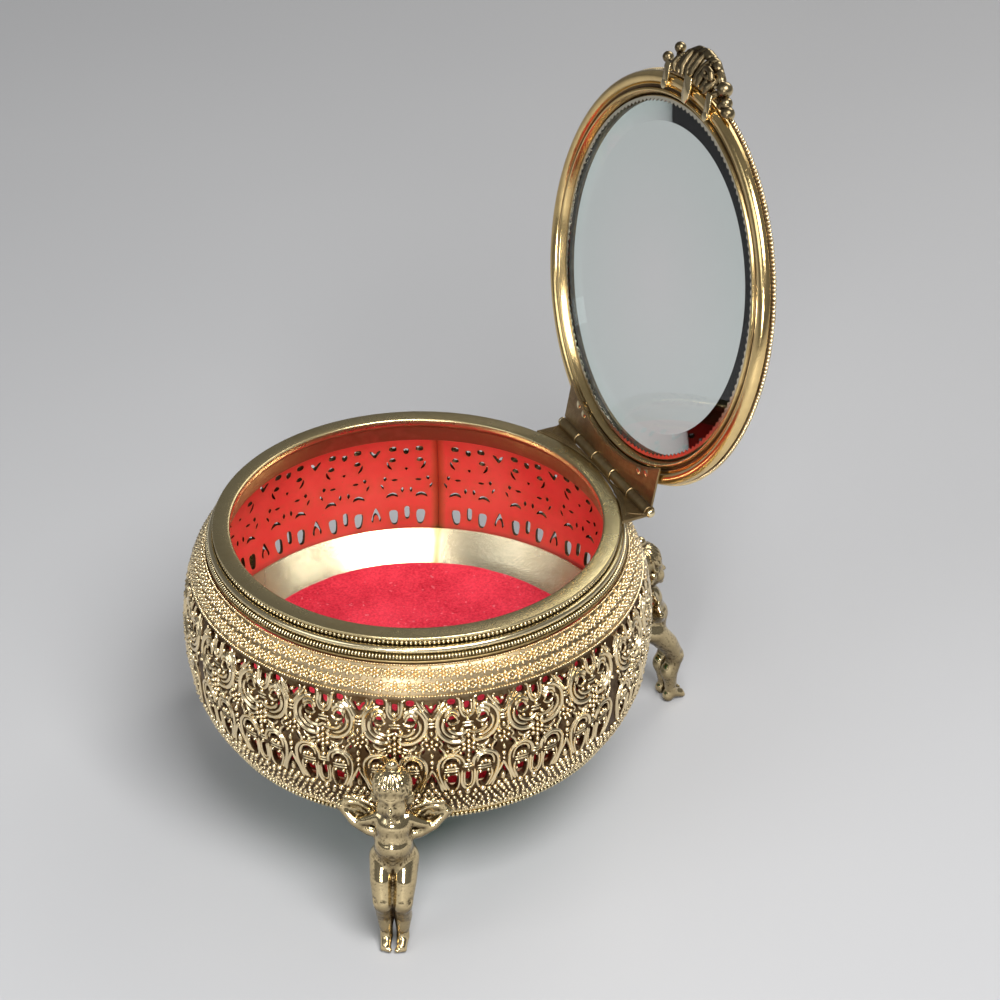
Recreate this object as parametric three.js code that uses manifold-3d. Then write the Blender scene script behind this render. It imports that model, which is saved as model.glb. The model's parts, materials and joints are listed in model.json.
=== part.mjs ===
// Round jewelry casket. Three cast openwork wall panels stand between turned rings on three seated
// cherub feet, and a bevelled glass lid swings on a hinge at the back.
// Millimetres, +Z up. The hinge is at +Y, and the lid is shown open, resting against its stop.
import * as THREE from 'three';
import { mergeVertices } from 'three/addons/utils/BufferGeometryUtils.js';
import Module from 'manifold-3d';

const wasm = await Module();
wasm.setup();

// ---------------------------------------------------------------- driving dimensions
const fit = 0.3; // clearance between seated pieces
const axisBack = -9.5; // where the casket's axis stands, from the middle of the open object
const ringSides = 36; // facets round each turned piece

// wall: a barrel in three panels
const wallBottom = 28.0;
const wallHeight = 43.8;
const wallEdgeRadius = 51.3;
const wallBellyRadius = 57.9;
const wallThickness = 1.8;
const wallArc = THREE.MathUtils.degToRad(72); // the profile is an ellipse, cut off this far from the belly
const wallBreaks = [6.0, 15.0, 18.8]; // heights above and below the belly where the wall's facets meet
const unitsPerPanel = 7; // repeats of the filigree pattern on one panel
const tileBefore = 6.2; // the facets also meet this far before and after the middle of each unit
const tileAfter = 1.9;
const seamGap = 0.3;

// mouth
const mouthRadius = 45;
const rimRadius = 49.3;
const rimPlate = 0.9;
const rimLip = 1.6;
const rimFall = 0.15; // the rim's top leans out
const neckBore = 46.4;
const seatEdge = 0.4; // thickness of a ring's edge where it meets the wall
const beadWire = 0.7; // radius of each wire's section
const beadSetBack = 1.15; // each wire's centre stands inside the one below
const halfRoundWire = 0.85;
const halfRoundSetBack = 0.85;
const milledWire = 0.65;
const milledProud = 0.1;
const wireGap = 0.2;

// base
const baseBeadWire = 0.75;
const baseBeadProud = 0.05;
const baseLipDrop = 0.2;
const baseLipWidth = 0.4;
const baseRingInner = 41.5;
const hollowWidth = 2.8; // the moulding's hollow, seen from below
const hollowDepth = 1.4;
const recessRadius = 46.2;
const recessDepth = 1.6;
const feltCard = 1.0;
const feltPile = 0.4;
const dishSheet = 0.7;
const dishLipRadius = 53.8;
const dishLipHeight = 38.7;
const dishFloorRadius = 44.6;
const boardThickness = 1.1;
const padThickness = 1.1;

// feet: each figure's own lengths are counted in heads
const headLength = 12.8;
const headOut = 63.6; // the head's middle, out from the casket's axis
const headHeight = 44.8;
const footLeans = { back: 0.09, left: -0.06, right: -0.06 }; // how far each casting was bent out or in
const bracketRadius = 1.7;
const padRadius = 2.0;
const padHeight = 2.4;
const screwRadius = 0.8;
const screwClearance = 0.2;
const screwLength = 5.1;
const screwCover = 0.5; // metal left above a screw's tip

// hinge
const openAngle = THREE.MathUtils.degToRad(100.6);
const hingeLength = 46;
const knuckles = 5;
const knuckleRadius = 1.5;
const knuckleSink = 0.2; // how far a leaf runs into its own knuckles
const pinRadius = 0.7;
const pinClearance = 0.06;
const pinHead = 0.5;
const boxLeaf = 0.8;
const lidLeaf = 0.5;
const leafSetIn = 1.5; // the lid's leaf stops this far short of the lid ring's bore
const heelReach = 4.0; // the heel on each lid knuckle stops the open lid against the mouldings
const heelThickness = 0.9;

// lid
const lidOverhang = 0.4; // past the rim
const lidRingHeight = 2.5;
const lidRoll = 1.1; // the ring's rolled outer edge
const channelDepth = 0.6; // the ring's channel, seen when the lid is open
const ringStep = 0.2;
const laceOverhang = 0.6; // past the lid ring
const laceHeight = 3.5;
const laceRim = 1.1; // thickness of the lace ring's edge over the glass
const laceOverlap = 0.7; // how far the lace ring reaches over the glass
const bezelBand = 0.3;
const bezelHeight = 3.2;
const bezelLip = 1.1;
const glassRadius = 43.0;
const glassThickness = 4.5;
const bevelWidth = 6.5;
const bevelDrop = 2.3;
const rivetRadius = 0.9;
const rivetClearance = 0.15;
const rivetBite = 1.4; // how far a rivet goes into the lid ring
const leafRivetTurns = [-22, -18, 18, 22]; // degrees from the back

// thumb piece
const thumbReach = 8.2;
const thumbHalfWidth = 12.5;
const thumbThickness = 2.2;
const thumbRise = 1.2; // its leaf stands this far above the lid ring's face
const thumbBall = 1.7;
const lobeReach = 5.4; // the leaf's side lobes, out from its corners
const lobeSetIn = 5;
const ruffleSpread = 2.5; // between the tips of two ruffles
const ruffleRadius = 1.3;
const ruffleSetIn = 1.2;
const berries = [[1.4, 0.4], [2.3, 3.4], [-0.5, 4.4]]; // past the leaf's corner, and out from the ring
const thumbRivetTurns = [-12, 12]; // degrees from the front
const earRadius = 1.9;
const tongueHalfWidth = 1.6;
const tongueSetIn = 0.5; // the tongue stops this far short of the lid ring's bore

// ---------------------------------------------------------------- sizes that follow
const wallMiddle = wallBottom + wallHeight / 2;
const ellipseWidth = (wallBellyRadius - wallEdgeRadius) / (1 - Math.cos(wallArc));
const ellipseCentre = wallBellyRadius - ellipseWidth;
const ellipseHeight = wallHeight / 2 / Math.sin(wallArc);
const footSpacing = (2 * Math.PI) / 3;
const footAngles = { back: Math.PI / 2, left: Math.PI / 2 + footSpacing, right: Math.PI / 2 - footSpacing };
const unitAngle = footSpacing / unitsPerPanel;
const bezelInner = glassRadius + fit;
const bezelOuter = bezelInner + bezelBand;
const lidBore = bezelOuter + fit;
const lidRadius = rimRadius + lidOverhang;
const laceRadius = lidRadius + laceOverhang;
const lidLeafInner = lidBore + leafSetIn;
const tongueInner = lidBore + tongueSetIn;
const rivetCircle = (lidLeafInner + lidRadius - lidRoll) / 2;

// ---------------------------------------------------------------- helpers
const V2 = (x, y) => new THREE.Vector2(x, y);
const V3 = (x, y, z) => new THREE.Vector3(x, y, z);

function solid(geometry) {
  const bare = geometry.clone();
  for (const name of Object.keys(bare.attributes)) {
    if (name !== 'position') bare.deleteAttribute(name);
  }
  const merged = mergeVertices(bare, 1e-4);
  const position = merged.attributes.position.array;
  const index = Array.from(merged.index.array);
  if (signedVolume(position, index) < 0) {
    for (let i = 0; i < index.length; i += 3) {
      [index[i], index[i + 1]] = [index[i + 1], index[i]];
    }
  }
  const mesh = new wasm.Mesh({
    numProp: 3,
    vertProperties: Float32Array.from(position),
    triVerts: Uint32Array.from(index),
  });
  return new wasm.Manifold(mesh);
}

function signedVolume(position, index) {
  let sum = 0;
  const at = (i) => V3(position[3 * i], position[3 * i + 1], position[3 * i + 2]);
  for (let i = 0; i < index.length; i += 3) {
    sum += at(index[i]).dot(at(index[i + 1]).cross(at(index[i + 2])));
  }
  return sum;
}

function toGeometry(manifold) {
  const mesh = manifold.getMesh();
  const geometry = new THREE.BufferGeometry();
  const points = new Float32Array(mesh.numVert * 3);
  for (let i = 0; i < mesh.numVert; i++) {
    for (let k = 0; k < 3; k++) points[3 * i + k] = mesh.vertProperties[mesh.numProp * i + k];
  }
  geometry.setAttribute('position', new THREE.BufferAttribute(points, 3));
  geometry.setIndex(Array.from(mesh.triVerts));
  return geometry;
}

const join = (solids) => solids.reduce((all, next) => all.add(next));
const cut = (body, tools) => tools.reduce((left, tool) => left.subtract(tool), body);

// a closed outline of [radius, height] points turned about Z
function turned(outline, sides = ringSides) {
  const points = outline.map(([r, z]) => V2(r, z));
  if (outline[0][0] > 0) points.push(points[0].clone());
  const geometry = new THREE.LatheGeometry(points, sides);
  geometry.rotateX(Math.PI / 2);
  return solid(geometry);
}

function wireRing(radius, height, section, sides = 5) {
  const outline = [];
  for (let i = 0; i < sides; i++) {
    const a = ((i + 0.5) / sides) * 2 * Math.PI;
    outline.push([radius + section * Math.cos(a), height + section * Math.sin(a)]);
  }
  return turned(outline);
}

function ball(centre, radii, wide = 6, high = 4) {
  const geometry = new THREE.SphereGeometry(1, wide, high);
  geometry.rotateX(Math.PI / 2);
  geometry.scale(radii.x, radii.y, radii.z);
  geometry.translate(centre.x, centre.y, centre.z);
  return solid(geometry);
}

const roundBall = (centre, r, wide, high) => ball(centre, V3(r, r, r), wide, high);

// a tapered limb; a knob rounds its far end
function limb(from, to, fromRadius, toRadius, knob = false, sides = 6) {
  const along = to.clone().sub(from);
  const geometry = new THREE.CylinderGeometry(toRadius, fromRadius, along.length(), sides);
  const turn = new THREE.Quaternion().setFromUnitVectors(V3(0, 1, 0), along.clone().normalize());
  geometry.applyQuaternion(turn);
  const middle = from.clone().add(to).multiplyScalar(0.5);
  geometry.translate(middle.x, middle.y, middle.z);
  const rod = solid(geometry);
  return knob ? rod.add(roundBall(to, toRadius)) : rod;
}

function rod(radius, low, high, x = 0, y = 0, sides = 8) {
  const geometry = new THREE.CylinderGeometry(radius, radius, high - low, sides);
  geometry.rotateX(Math.PI / 2);
  geometry.translate(x, y, (low + high) / 2);
  return solid(geometry);
}

function rodAlongX(radius, from, to, y, z, sides = 12) {
  const geometry = new THREE.CylinderGeometry(radius, radius, to - from, sides);
  geometry.rotateZ(Math.PI / 2);
  geometry.translate((from + to) / 2, y, z);
  return solid(geometry);
}

function block(x0, x1, y0, y1, z0, z1) {
  const geometry = new THREE.BoxGeometry(x1 - x0, y1 - y0, z1 - z0);
  geometry.translate((x0 + x1) / 2, (y0 + y1) / 2, (z0 + z1) / 2);
  return solid(geometry);
}

function extruded(shape, low, high, curveSegments = 6) {
  const geometry = new THREE.ExtrudeGeometry(shape, {
    depth: high - low,
    bevelEnabled: false,
    curveSegments,
  });
  geometry.translate(0, 0, low);
  return solid(geometry);
}

const group = new THREE.Group();
const lid = new THREE.Group();
const casket = new THREE.Group();

function node(parent, name, manifold, colour, metalness = 1, roughness = 0.3) {
  const material = new THREE.MeshStandardMaterial({ color: colour, metalness, roughness });
  const mesh = new THREE.Mesh(toGeometry(manifold), material);
  mesh.name = name;
  parent.add(mesh);
  return mesh;
}

const gilt = 0xb8974f;
const brightGilt = 0xe0c98a;
const brownGilt = 0x8a6a2c;

// ---------------------------------------------------------------- wall
// a point of the wall's outer face, and its outward normal, at a height above the belly
function wallAt(rise) {
  const sine = rise / ellipseHeight;
  const cosine = Math.sqrt(1 - sine ** 2);
  const point = V2(ellipseCentre + ellipseWidth * cosine, wallMiddle + rise);
  const normal = V2(ellipseHeight * cosine, ellipseWidth * sine).normalize();
  return { point, normal };
}

function onWall(angle, rise, depth) {
  const { point, normal } = wallAt(rise);
  const radius = point.x - normal.x * depth;
  return [radius * Math.cos(angle), radius * Math.sin(angle), point.y - normal.y * depth];
}

// openings of one unit of the pattern: [across from its middle, height above the belly, outline]
function openings() {
  const slot = (w, h) => [[-w / 2, -h / 2], [w / 2, -h / 2], [w / 2, h / 2], [-w / 2, h / 2]];
  const crescent = (w, h) => [[-w / 2, -h / 2], [w / 2, -h / 2], [w / 4, h / 2], [-w / 4, h / 2]];
  const arch = (w, h) => [[0, -h / 2], [w / 2, -h / 6], [w / 2, h / 2], [-w / 2, h / 2], [-w / 2, -h / 6]];
  const vee = (w, h) => [[0, -h / 2], [w / 2, h / 2], [0, h / 6], [-w / 2, h / 2]];
  const list = [[0, 12.4, arch(1.6, 2.3)], [0, -7.9, arch(1.5, 3.4)]];
  for (const side of [-1, 1]) {
    list.push([side * 3.7, 13.5, slot(2.1, 1.8)]);
    list.push([side * 3.7, 9.4, crescent(2.4, 1.5)]);
    list.push([side * 4.1, -2.2, crescent(3.6, 1.7)]);
    list.push([side * 3.7, -9.0, slot(2.3, 4.3)]);
  }
  return { list, between: [[0, 12.0, vee(3.4, 3.0)]] };
}

// One panel, its middle at +X: a pierced sheet laid out in tiles, each tile holding whole openings,
// then bent round the casket and over the belly.
function wallPanel() {
  const half = footSpacing / 2 - seamGap / 2 / wallBellyRadius;
  const columns = [-half];
  const holes = [];
  const { list, between } = openings();
  const place = (middle, [across, rise, outline]) => outline.map(
    ([x, y]) => V2(middle + (across + x) / wallBellyRadius, rise + y),
  );
  for (let unit = 0; unit < unitsPerPanel; unit++) {
    const middle = (unit - (unitsPerPanel - 1) / 2) * unitAngle;
    columns.push(middle - tileBefore / wallBellyRadius, middle + tileAfter / wallBellyRadius);
    holes.push(...list.map((hole) => place(middle, hole)));
    if (unit < unitsPerPanel - 1) holes.push(...between.map((hole) => place(middle + unitAngle / 2, hole)));
  }
  columns.push(half);
  const above = [...wallBreaks, wallHeight / 2];
  const rows = [...above.map((rise) => -rise).reverse(), ...above];

  const triangles = [];
  const face = (a, b, c) => triangles.push(...a, ...b, ...c);
  const through = (from, to) => {
    const [a, b] = [from, to].map((p) => onWall(p.x, p.y, 0));
    const [c, d] = [from, to].map((p) => onWall(p.x, p.y, wallThickness));
    face(a, c, b);
    face(b, c, d);
  };
  const around = (outline) => outline.forEach((p, i) => through(p, outline[(i + 1) % outline.length]));
  for (let i = 0; i + 1 < columns.length; i++) {
    for (let j = 0; j + 1 < rows.length; j++) {
      const [left, right, low, high] = [columns[i], columns[i + 1], rows[j], rows[j + 1]];
      const inside = holes.filter(([p]) => p.x > left && p.x < right && p.y > low && p.y < high);
      const tile = [V2(left, low), V2(right, low), V2(right, high), V2(left, high)];
      const points = [tile, ...inside].flat();
      for (const corners of THREE.ShapeUtils.triangulateShape(tile, inside)) {
        const [a, b, c] = corners.map((k) => onWall(points[k].x, points[k].y, 0));
        const [d, e, f] = corners.map((k) => onWall(points[k].x, points[k].y, wallThickness));
        face(a, b, c);
        face(d, f, e);
      }
      inside.forEach((hole) => around([...hole].reverse()));
      if (i === 0) through(tile[3], tile[0]);
      if (i === columns.length - 2) through(tile[1], tile[2]);
      if (j === 0) through(tile[0], tile[1]);
      if (j === rows.length - 2) through(tile[2], tile[3]);
    }
  }
  const geometry = new THREE.BufferGeometry();
  geometry.setAttribute('position', new THREE.Float32BufferAttribute(triangles, 3));
  return solid(geometry);
}

const panelSolid = wallPanel();
for (const [place, angle] of Object.entries(footAngles)) {
  node(casket, `panel_${place}`, panelSolid, gilt).rotation.z = angle;
}

// ---------------------------------------------------------------- mouth of the casket
// a ring's seat: the wall's end face (1 at the top, -1 at the foot), moved off it by the fit
function seatOn(end) {
  const { point, normal } = wallAt((end * wallHeight) / 2);
  const off = V2(-normal.y, normal.x).multiplyScalar(end * fit);
  return {
    outer: point.clone().add(off),
    inner: point.clone().addScaledVector(normal, -wallThickness).add(off),
  };
}

function stacked(below, reach, setBack) {
  return V2(below.x - setBack, below.y + Math.sqrt((reach + wireGap) ** 2 - setBack ** 2));
}

const topSeat = seatOn(1);
const milledSeat = topSeat.outer.y + seatEdge;
const milled = V2(topSeat.outer.x + milledProud - milledWire, milledSeat + wireGap + milledWire);
const halfRound = stacked(milled, milledWire + halfRoundWire, halfRoundSetBack);
const bead = stacked(halfRound, halfRoundWire + beadWire, beadSetBack);
const rimUnder = bead.y + beadWire + wireGap;
const rimTop = rimUnder + rimPlate;
const neckOuter = bead.x - beadWire - wireGap;
const neckStep = halfRound.y - halfRoundWire;
const neckFoot = milled.x - milledWire - wireGap;

node(casket, 'rim_ring', turned([
  [mouthRadius, rimTop - rimLip],
  [mouthRadius, rimTop],
  [rimRadius, rimTop - rimFall],
  [rimRadius, rimUnder],
  [neckOuter, rimUnder],
  [neckOuter, neckStep],
  [neckFoot, neckStep],
  [neckFoot, milledSeat],
  [topSeat.outer.x, milledSeat],
  [topSeat.outer.x, topSeat.outer.y],
  [topSeat.inner.x, topSeat.inner.y],
  [neckBore, topSeat.inner.y],
  [neckBore, rimTop - rimLip],
]), gilt, 1, 0.35);
node(casket, 'rim_bead_wire', wireRing(bead.x, bead.y, beadWire), brightGilt);
node(casket, 'rim_half_round_wire', wireRing(halfRound.x, halfRound.y, halfRoundWire), brightGilt);
node(casket, 'rim_milled_wire', wireRing(milled.x, milled.y, milledWire), brightGilt);

// ---------------------------------------------------------------- base
const footSeat = seatOn(-1);
const baseStep = footSeat.outer.y - seatEdge;
const baseBead = V2(
  footSeat.outer.x + baseBeadProud - baseBeadWire,
  baseStep - wireGap - baseBeadWire,
);
const baseLip = baseBead.y - baseBeadWire - baseLipDrop;
const lipOuter = baseBead.x - baseBeadWire - wireGap;
const hollowMiddle = lipOuter - baseLipWidth - hollowWidth / 2;
const ledge = baseLip + recessDepth;
const baseTop = footSeat.inner.y;
const screwTip = baseTop - screwCover;

// the hollow between the two lips, as a half ellipse
function hollow(steps = 3) {
  const points = [];
  for (let i = 0; i <= steps; i++) {
    const a = (i / steps) * Math.PI;
    points.push([hollowMiddle + (hollowWidth / 2) * Math.cos(a), baseLip + hollowDepth * Math.sin(a)]);
  }
  return points;
}

const screwHoles = Object.values(footAngles).map((a) => rod(
  screwRadius + screwClearance,
  baseLip,
  screwTip + screwClearance,
  hollowMiddle * Math.cos(a),
  hollowMiddle * Math.sin(a),
));
node(casket, 'base_ring', cut(turned([
  [footSeat.inner.x, footSeat.inner.y],
  [footSeat.outer.x, footSeat.outer.y],
  [footSeat.outer.x, baseStep],
  [lipOuter, baseStep],
  [lipOuter, baseLip],
  ...hollow(),
  [recessRadius, baseLip],
  [recessRadius, ledge],
  [baseRingInner, ledge],
  [baseRingInner, baseTop],
]), screwHoles), gilt, 1, 0.25);
node(casket, 'base_bead_wire', wireRing(baseBead.x, baseBead.y, baseBeadWire), brightGilt);

// dish: a flat floor and a sloping wall that reaches the panels
const dishBottom = baseTop + fit;
const dishFloor = dishBottom + dishSheet;
const slope = V2(dishLipRadius - dishFloorRadius, dishLipHeight - dishFloor).normalize();
node(casket, 'base_dish', turned([
  [0, dishBottom],
  [dishFloorRadius + (dishSheet * (1 - slope.x)) / slope.y, dishBottom],
  [dishLipRadius + (dishSheet * slope.y) / 2, dishLipHeight - (dishSheet * slope.x) / 2],
  [dishLipRadius, dishLipHeight],
  [dishFloorRadius, dishFloor],
  [0, dishFloor],
]), brightGilt, 1, 0.15);

// a flat disc between two heights; its edge is given at the bottom and the top
function disc(bottom, top, lowRadius, highRadius = lowRadius) {
  return turned([[0, bottom], [lowRadius, bottom], [highRadius, top], [0, top]]);
}

const inDish = (height) => dishFloorRadius + ((height - dishFloor) * slope.x - fit) / slope.y;
const boardBottom = dishFloor + fit;
const boardTop = boardBottom + boardThickness;
const padBottom = boardTop + fit;
const padTop = padBottom + padThickness;
node(casket, 'floor_board', disc(boardBottom, boardTop, inDish(boardBottom)), 0x9c8462, 0, 0.9);
node(casket, 'velvet_pad', disc(padBottom, padTop, inDish(padBottom), inDish(padTop)), 0xd32b3a, 0, 0.95);

const cardTop = ledge - fit;
const feltTop = cardTop - feltCard - fit;
node(casket, 'felt_card', disc(cardTop - feltCard, cardTop, recessRadius - fit), 0xcdbd97, 0, 0.9);
node(casket, 'felt_disc', disc(feltTop - feltPile, feltTop, recessRadius - 2 * fit), 0x1f5c38, 0, 0.95);

// ---------------------------------------------------------------- feet
// a point of the figure, in heads: out from its head, across, and up from the table
const inHeads = (out, across, up) => V3(
  headOut + out * headLength,
  across * headLength,
  headHeight + (up - 3.5) * headLength,
);
const heads = (x, y, z) => V3(x, y, z).multiplyScalar(headLength);

// A seated cherub with its back to the wall and its leaf-shaped arms held out. The lean slides
// the figure out or in below its head, so that its feet meet the table where they were bent to.
function cherub(lean) {
  const pieces = [
    ball(inHeads(0, 0, 3.5), heads(0.36, 0.3, 0.5), 8, 6),
    ball(inHeads(-0.05, 0, 3.7), heads(0.35, 0.34, 0.4), 8, 5), // hair
    roundBall(inHeads(-0.1, 0, 4.13), 0.1 * headLength), // topknot
    ball(inHeads(-0.03, 0, 2.75), heads(0.35, 0.34, 0.46), 8, 5), // chest
    ball(inHeads(-0.05, 0, 2.35), heads(0.42, 0.41, 0.46), 8, 5), // belly and hips
  ];
  for (const side of [-1, 1]) {
    const hip = inHeads(-0.05, side * 0.17, 1.98);
    const knee = inHeads(0.48, side * 0.15, 1.36);
    const ankle = inHeads(0.4, side * 0.14, 0.3);
    const arm = new THREE.SphereGeometry(1, 8, 5);
    arm.scale(0.17 * headLength, 0.46 * headLength, 0.2 * headLength);
    arm.rotateX(side * 0.42);
    arm.rotateZ(side * 0.2);
    arm.translate(...inHeads(-0.14, side * 0.63, 2.76));
    pieces.push(
      limb(hip, knee, 0.24 * headLength, 0.22 * headLength, true),
      limb(knee, ankle, 0.2 * headLength, 0.13 * headLength),
      ball(inHeads(0.42, side * 0.14, 0.12), heads(0.26, 0.145, 0.19)),
      solid(arm),
    );
  }
  const bent = toGeometry(join(pieces));
  bent.applyMatrix4(new THREE.Matrix4().makeShear(0, 0, 0, 0, -lean, 0));
  bent.translate(lean * headHeight, 0, 0);
  return solid(bent);
}

// The scroll bracket runs in from the hips, bows down, and comes up to a flat pad under the base.
function cherubFoot(lean) {
  const padTop = baseLip - fit;
  const hips = inHeads(lean * (headHeight / headLength - 2), 0, 2);
  const route = new THREE.CatmullRomCurve3([
    hips,
    V3(hips.x + 0.4 * (hollowMiddle - hips.x), 0, hips.z - 0.52 * headLength),
    V3(hips.x + 0.78 * (hollowMiddle - hips.x), 0, hips.z - 0.72 * headLength),
    V3(hollowMiddle, 0, padTop - padHeight - bracketRadius),
    V3(hollowMiddle, 0, padTop - padHeight + fit),
  ]);
  const outline = new THREE.EllipseCurve(0, 0, bracketRadius, bracketRadius).getPoints(6).slice(0, -1);
  const bracket = new THREE.ExtrudeGeometry(new THREE.Shape(outline), {
    steps: 6,
    extrudePath: route,
    bevelEnabled: false,
  });
  const pad = rod(padRadius, padTop - padHeight, padTop, hollowMiddle);
  const ground = block(0, 2 * wallBellyRadius, -wallBottom, wallBottom, -headLength, 0);
  const bore = rod(screwRadius + screwClearance, padTop - screwLength, padTop + fit, hollowMiddle);
  return cut(join([cherub(lean), solid(bracket), pad]), [ground, bore]);
}

const screwSolid = rod(screwRadius, screwTip - screwLength, screwTip, hollowMiddle);
for (const [place, angle] of Object.entries(footAngles)) {
  node(casket, `foot_${place}`, cherubFoot(footLeans[place]), brightGilt, 1, 0.2).rotation.z = angle;
  node(casket, `foot_screw_${place}`, screwSolid, brownGilt).rotation.z = angle;
}

// ---------------------------------------------------------------- hinge
const hingeBack = lidRadius + fit + knuckleRadius;
const hingeHeight = rimTop + fit;
const lidLeafBottom = rimTop + fit;
const lidLeafTop = lidLeafBottom + lidLeaf;
const lidBottom = lidLeafTop + fit;
const boxLeafTop = rimTop - rimFall;

// the knuckles from the first given, every second one, as [from, to] along X
function knuckleSpans(first) {
  const pitch = hingeLength / knuckles;
  const spans = [];
  for (let i = first; i < knuckles; i += 2) {
    const from = i * pitch - hingeLength / 2;
    spans.push([from + fit / 2, from + pitch - fit / 2]);
  }
  return spans;
}
const boxSpans = knuckleSpans(0);
const lidSpans = knuckleSpans(1);
const onHinge = (radius, from, to) => rodAlongX(radius, from, to, hingeBack, hingeHeight);
const barrels = (spans, radius, grow = 0) => spans.map(([from, to]) => onHinge(radius, from - grow, to + grow));
const pinHole = onHinge(pinRadius + pinClearance, -hingeLength, hingeLength);

// a flat leaf from the hinge line to a ring, with its own knuckles and room for the other leaf's
function hingeLeaf(inner, low, high, own, other) {
  const slab = block(-hingeLength / 2, hingeLength / 2, 0, hingeBack, low, high);
  const plate = cut(slab, [
    disc(low - fit, high + fit, inner),
    ...barrels(other, knuckleRadius + fit, fit / 2),
    ...barrels(own, knuckleRadius - knuckleSink),
  ]);
  return join([plate, ...barrels(own, knuckleRadius)]);
}

const boxLeafSolid = hingeLeaf(rimRadius + fit, boxLeafTop - boxLeaf, boxLeafTop, boxSpans, lidSpans);
node(casket, 'hinge_box_leaf', cut(boxLeafSolid, [pinHole]), gilt, 1, 0.35);
const pinHalf = hingeLength / 2 + fit;
node(casket, 'hinge_pin', join([
  onHinge(pinRadius, -pinHalf, pinHalf),
  onHinge(pinRadius + pinHead, -pinHalf - pinHead, -pinHalf),
  onHinge(pinRadius + pinHead, pinHalf, pinHalf + pinHead),
]), brownGilt);

// each heel hangs straight down from its knuckle when the lid is open
function stopHeel([from, to]) {
  const heel = new THREE.BoxGeometry(to - from, heelThickness, heelReach);
  heel.translate((from + to) / 2, 0, -heelReach / 2 - pinRadius);
  heel.rotateX(openAngle);
  heel.translate(0, hingeBack, hingeHeight);
  return solid(heel);
}
const onLidRing = (from, turns) => turns.map((turn) => {
  const a = from + THREE.MathUtils.degToRad(turn);
  return [rivetCircle * Math.cos(a), rivetCircle * Math.sin(a)];
});
const leafRivets = onLidRing(Math.PI / 2, leafRivetTurns);
const thumbRivets = onLidRing(-Math.PI / 2, thumbRivetTurns);
const rivetHoles = (places, low, high) => places.map(
  ([x, y]) => rod(rivetRadius + rivetClearance, low, high, x, y),
);
const lidLeafSolid = hingeLeaf(lidLeafInner, lidLeafBottom, lidLeafTop, lidSpans, boxSpans);
node(lid, 'hinge_lid_leaf', cut(join([lidLeafSolid, ...lidSpans.map(stopHeel)]), [
  pinHole,
  ...rivetHoles(leafRivets, lidLeafBottom - fit, lidBottom),
]), brownGilt, 1, 0.35);

// ---------------------------------------------------------------- lid, drawn closed
const rivetTop = lidBottom + rivetBite;
function rivets(name, places) {
  places.forEach(([x, y], i) => {
    node(lid, `${name}_${i + 1}`, rod(rivetRadius, lidLeafBottom, rivetTop, x, y), gilt);
  });
}

const lidRingTop = lidBottom + lidRingHeight;
const acrossRing = (share) => lidBore + share * (lidRadius - lidBore);
node(lid, 'lid_ring', cut(turned([
  [lidRadius, lidBottom + lidRoll],
  [lidRadius, lidRingTop],
  [lidBore, lidRingTop],
  [lidBore, lidBottom + ringStep + channelDepth],
  [acrossRing(0.1), lidBottom + ringStep],
  [acrossRing(0.3), lidBottom + ringStep + channelDepth],
  [acrossRing(0.5), lidBottom + ringStep],
  [lidRadius - lidRoll, lidBottom],
]), rivetHoles([...leafRivets, ...thumbRivets], lidBottom - fit, rivetTop + rivetClearance)), gilt, 1, 0.2);
rivets('lid_leaf_rivet', leafRivets);

// the bezel's band stands round the glass, and its lip is turned in under it
const bezelBottom = lidBottom;
const glassBottom = bezelBottom + bezelBand + fit;
const glassTop = glassBottom + glassThickness;
node(lid, 'lid_bezel', turned([
  [bezelInner - bezelLip, bezelBottom],
  [bezelOuter, bezelBottom],
  [bezelOuter, bezelBottom + bezelHeight],
  [bezelInner, bezelBottom + bezelHeight],
  [bezelInner, bezelBottom + bezelBand],
  [bezelInner - bezelLip, bezelBottom + bezelBand],
]), brightGilt);
node(lid, 'lid_glass', turned([
  [0, glassBottom],
  [glassRadius, glassBottom],
  [glassRadius, glassTop - bevelDrop],
  [glassRadius - bevelWidth, glassTop],
  [0, glassTop],
]), 0xcfe3dc, 0, 0.05);

// a domed ring of lace: it sits on the lid ring and holds the glass down
const laceBottom = lidRingTop + fit;
const laceInner = glassRadius - laceOverlap;
const bevelAtLace = glassTop - (bevelDrop * (bevelWidth - laceOverlap)) / bevelWidth;
const laceHold = bevelAtLace + 3 * fit;
const laceTop = Math.max(laceBottom + laceHeight, laceHold + laceRim);
const acrossLace = (share) => laceInner + share * (laceRadius - laceInner);
node(lid, 'lid_filigree_ring', turned([
  [laceRadius, laceBottom],
  [laceRadius, laceBottom + 0.2 * laceHeight],
  [acrossLace(0.88), laceBottom + 0.55 * laceHeight],
  [acrossLace(0.65), laceBottom + 0.85 * laceHeight],
  [acrossLace(0.35), laceTop],
  [laceInner, laceTop],
  [laceInner, laceHold],
  [bezelOuter + fit, laceHold],
  [bezelOuter + fit, laceBottom],
]), gilt);

// ---------------------------------------------------------------- thumb piece
const thumbInner = laceRadius + fit;
const thumbBottom = lidBottom + thumbRise;
const thumbTop = thumbBottom + thumbThickness;

// leaf: one lobe each side of a broad point, hollowed to the ring
const thumbSpread = thumbHalfWidth / thumbInner;
const corner = V2(thumbInner * Math.sin(thumbSpread), -thumbInner * Math.cos(thumbSpread));
const tipOut = -thumbInner - thumbReach;

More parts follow.
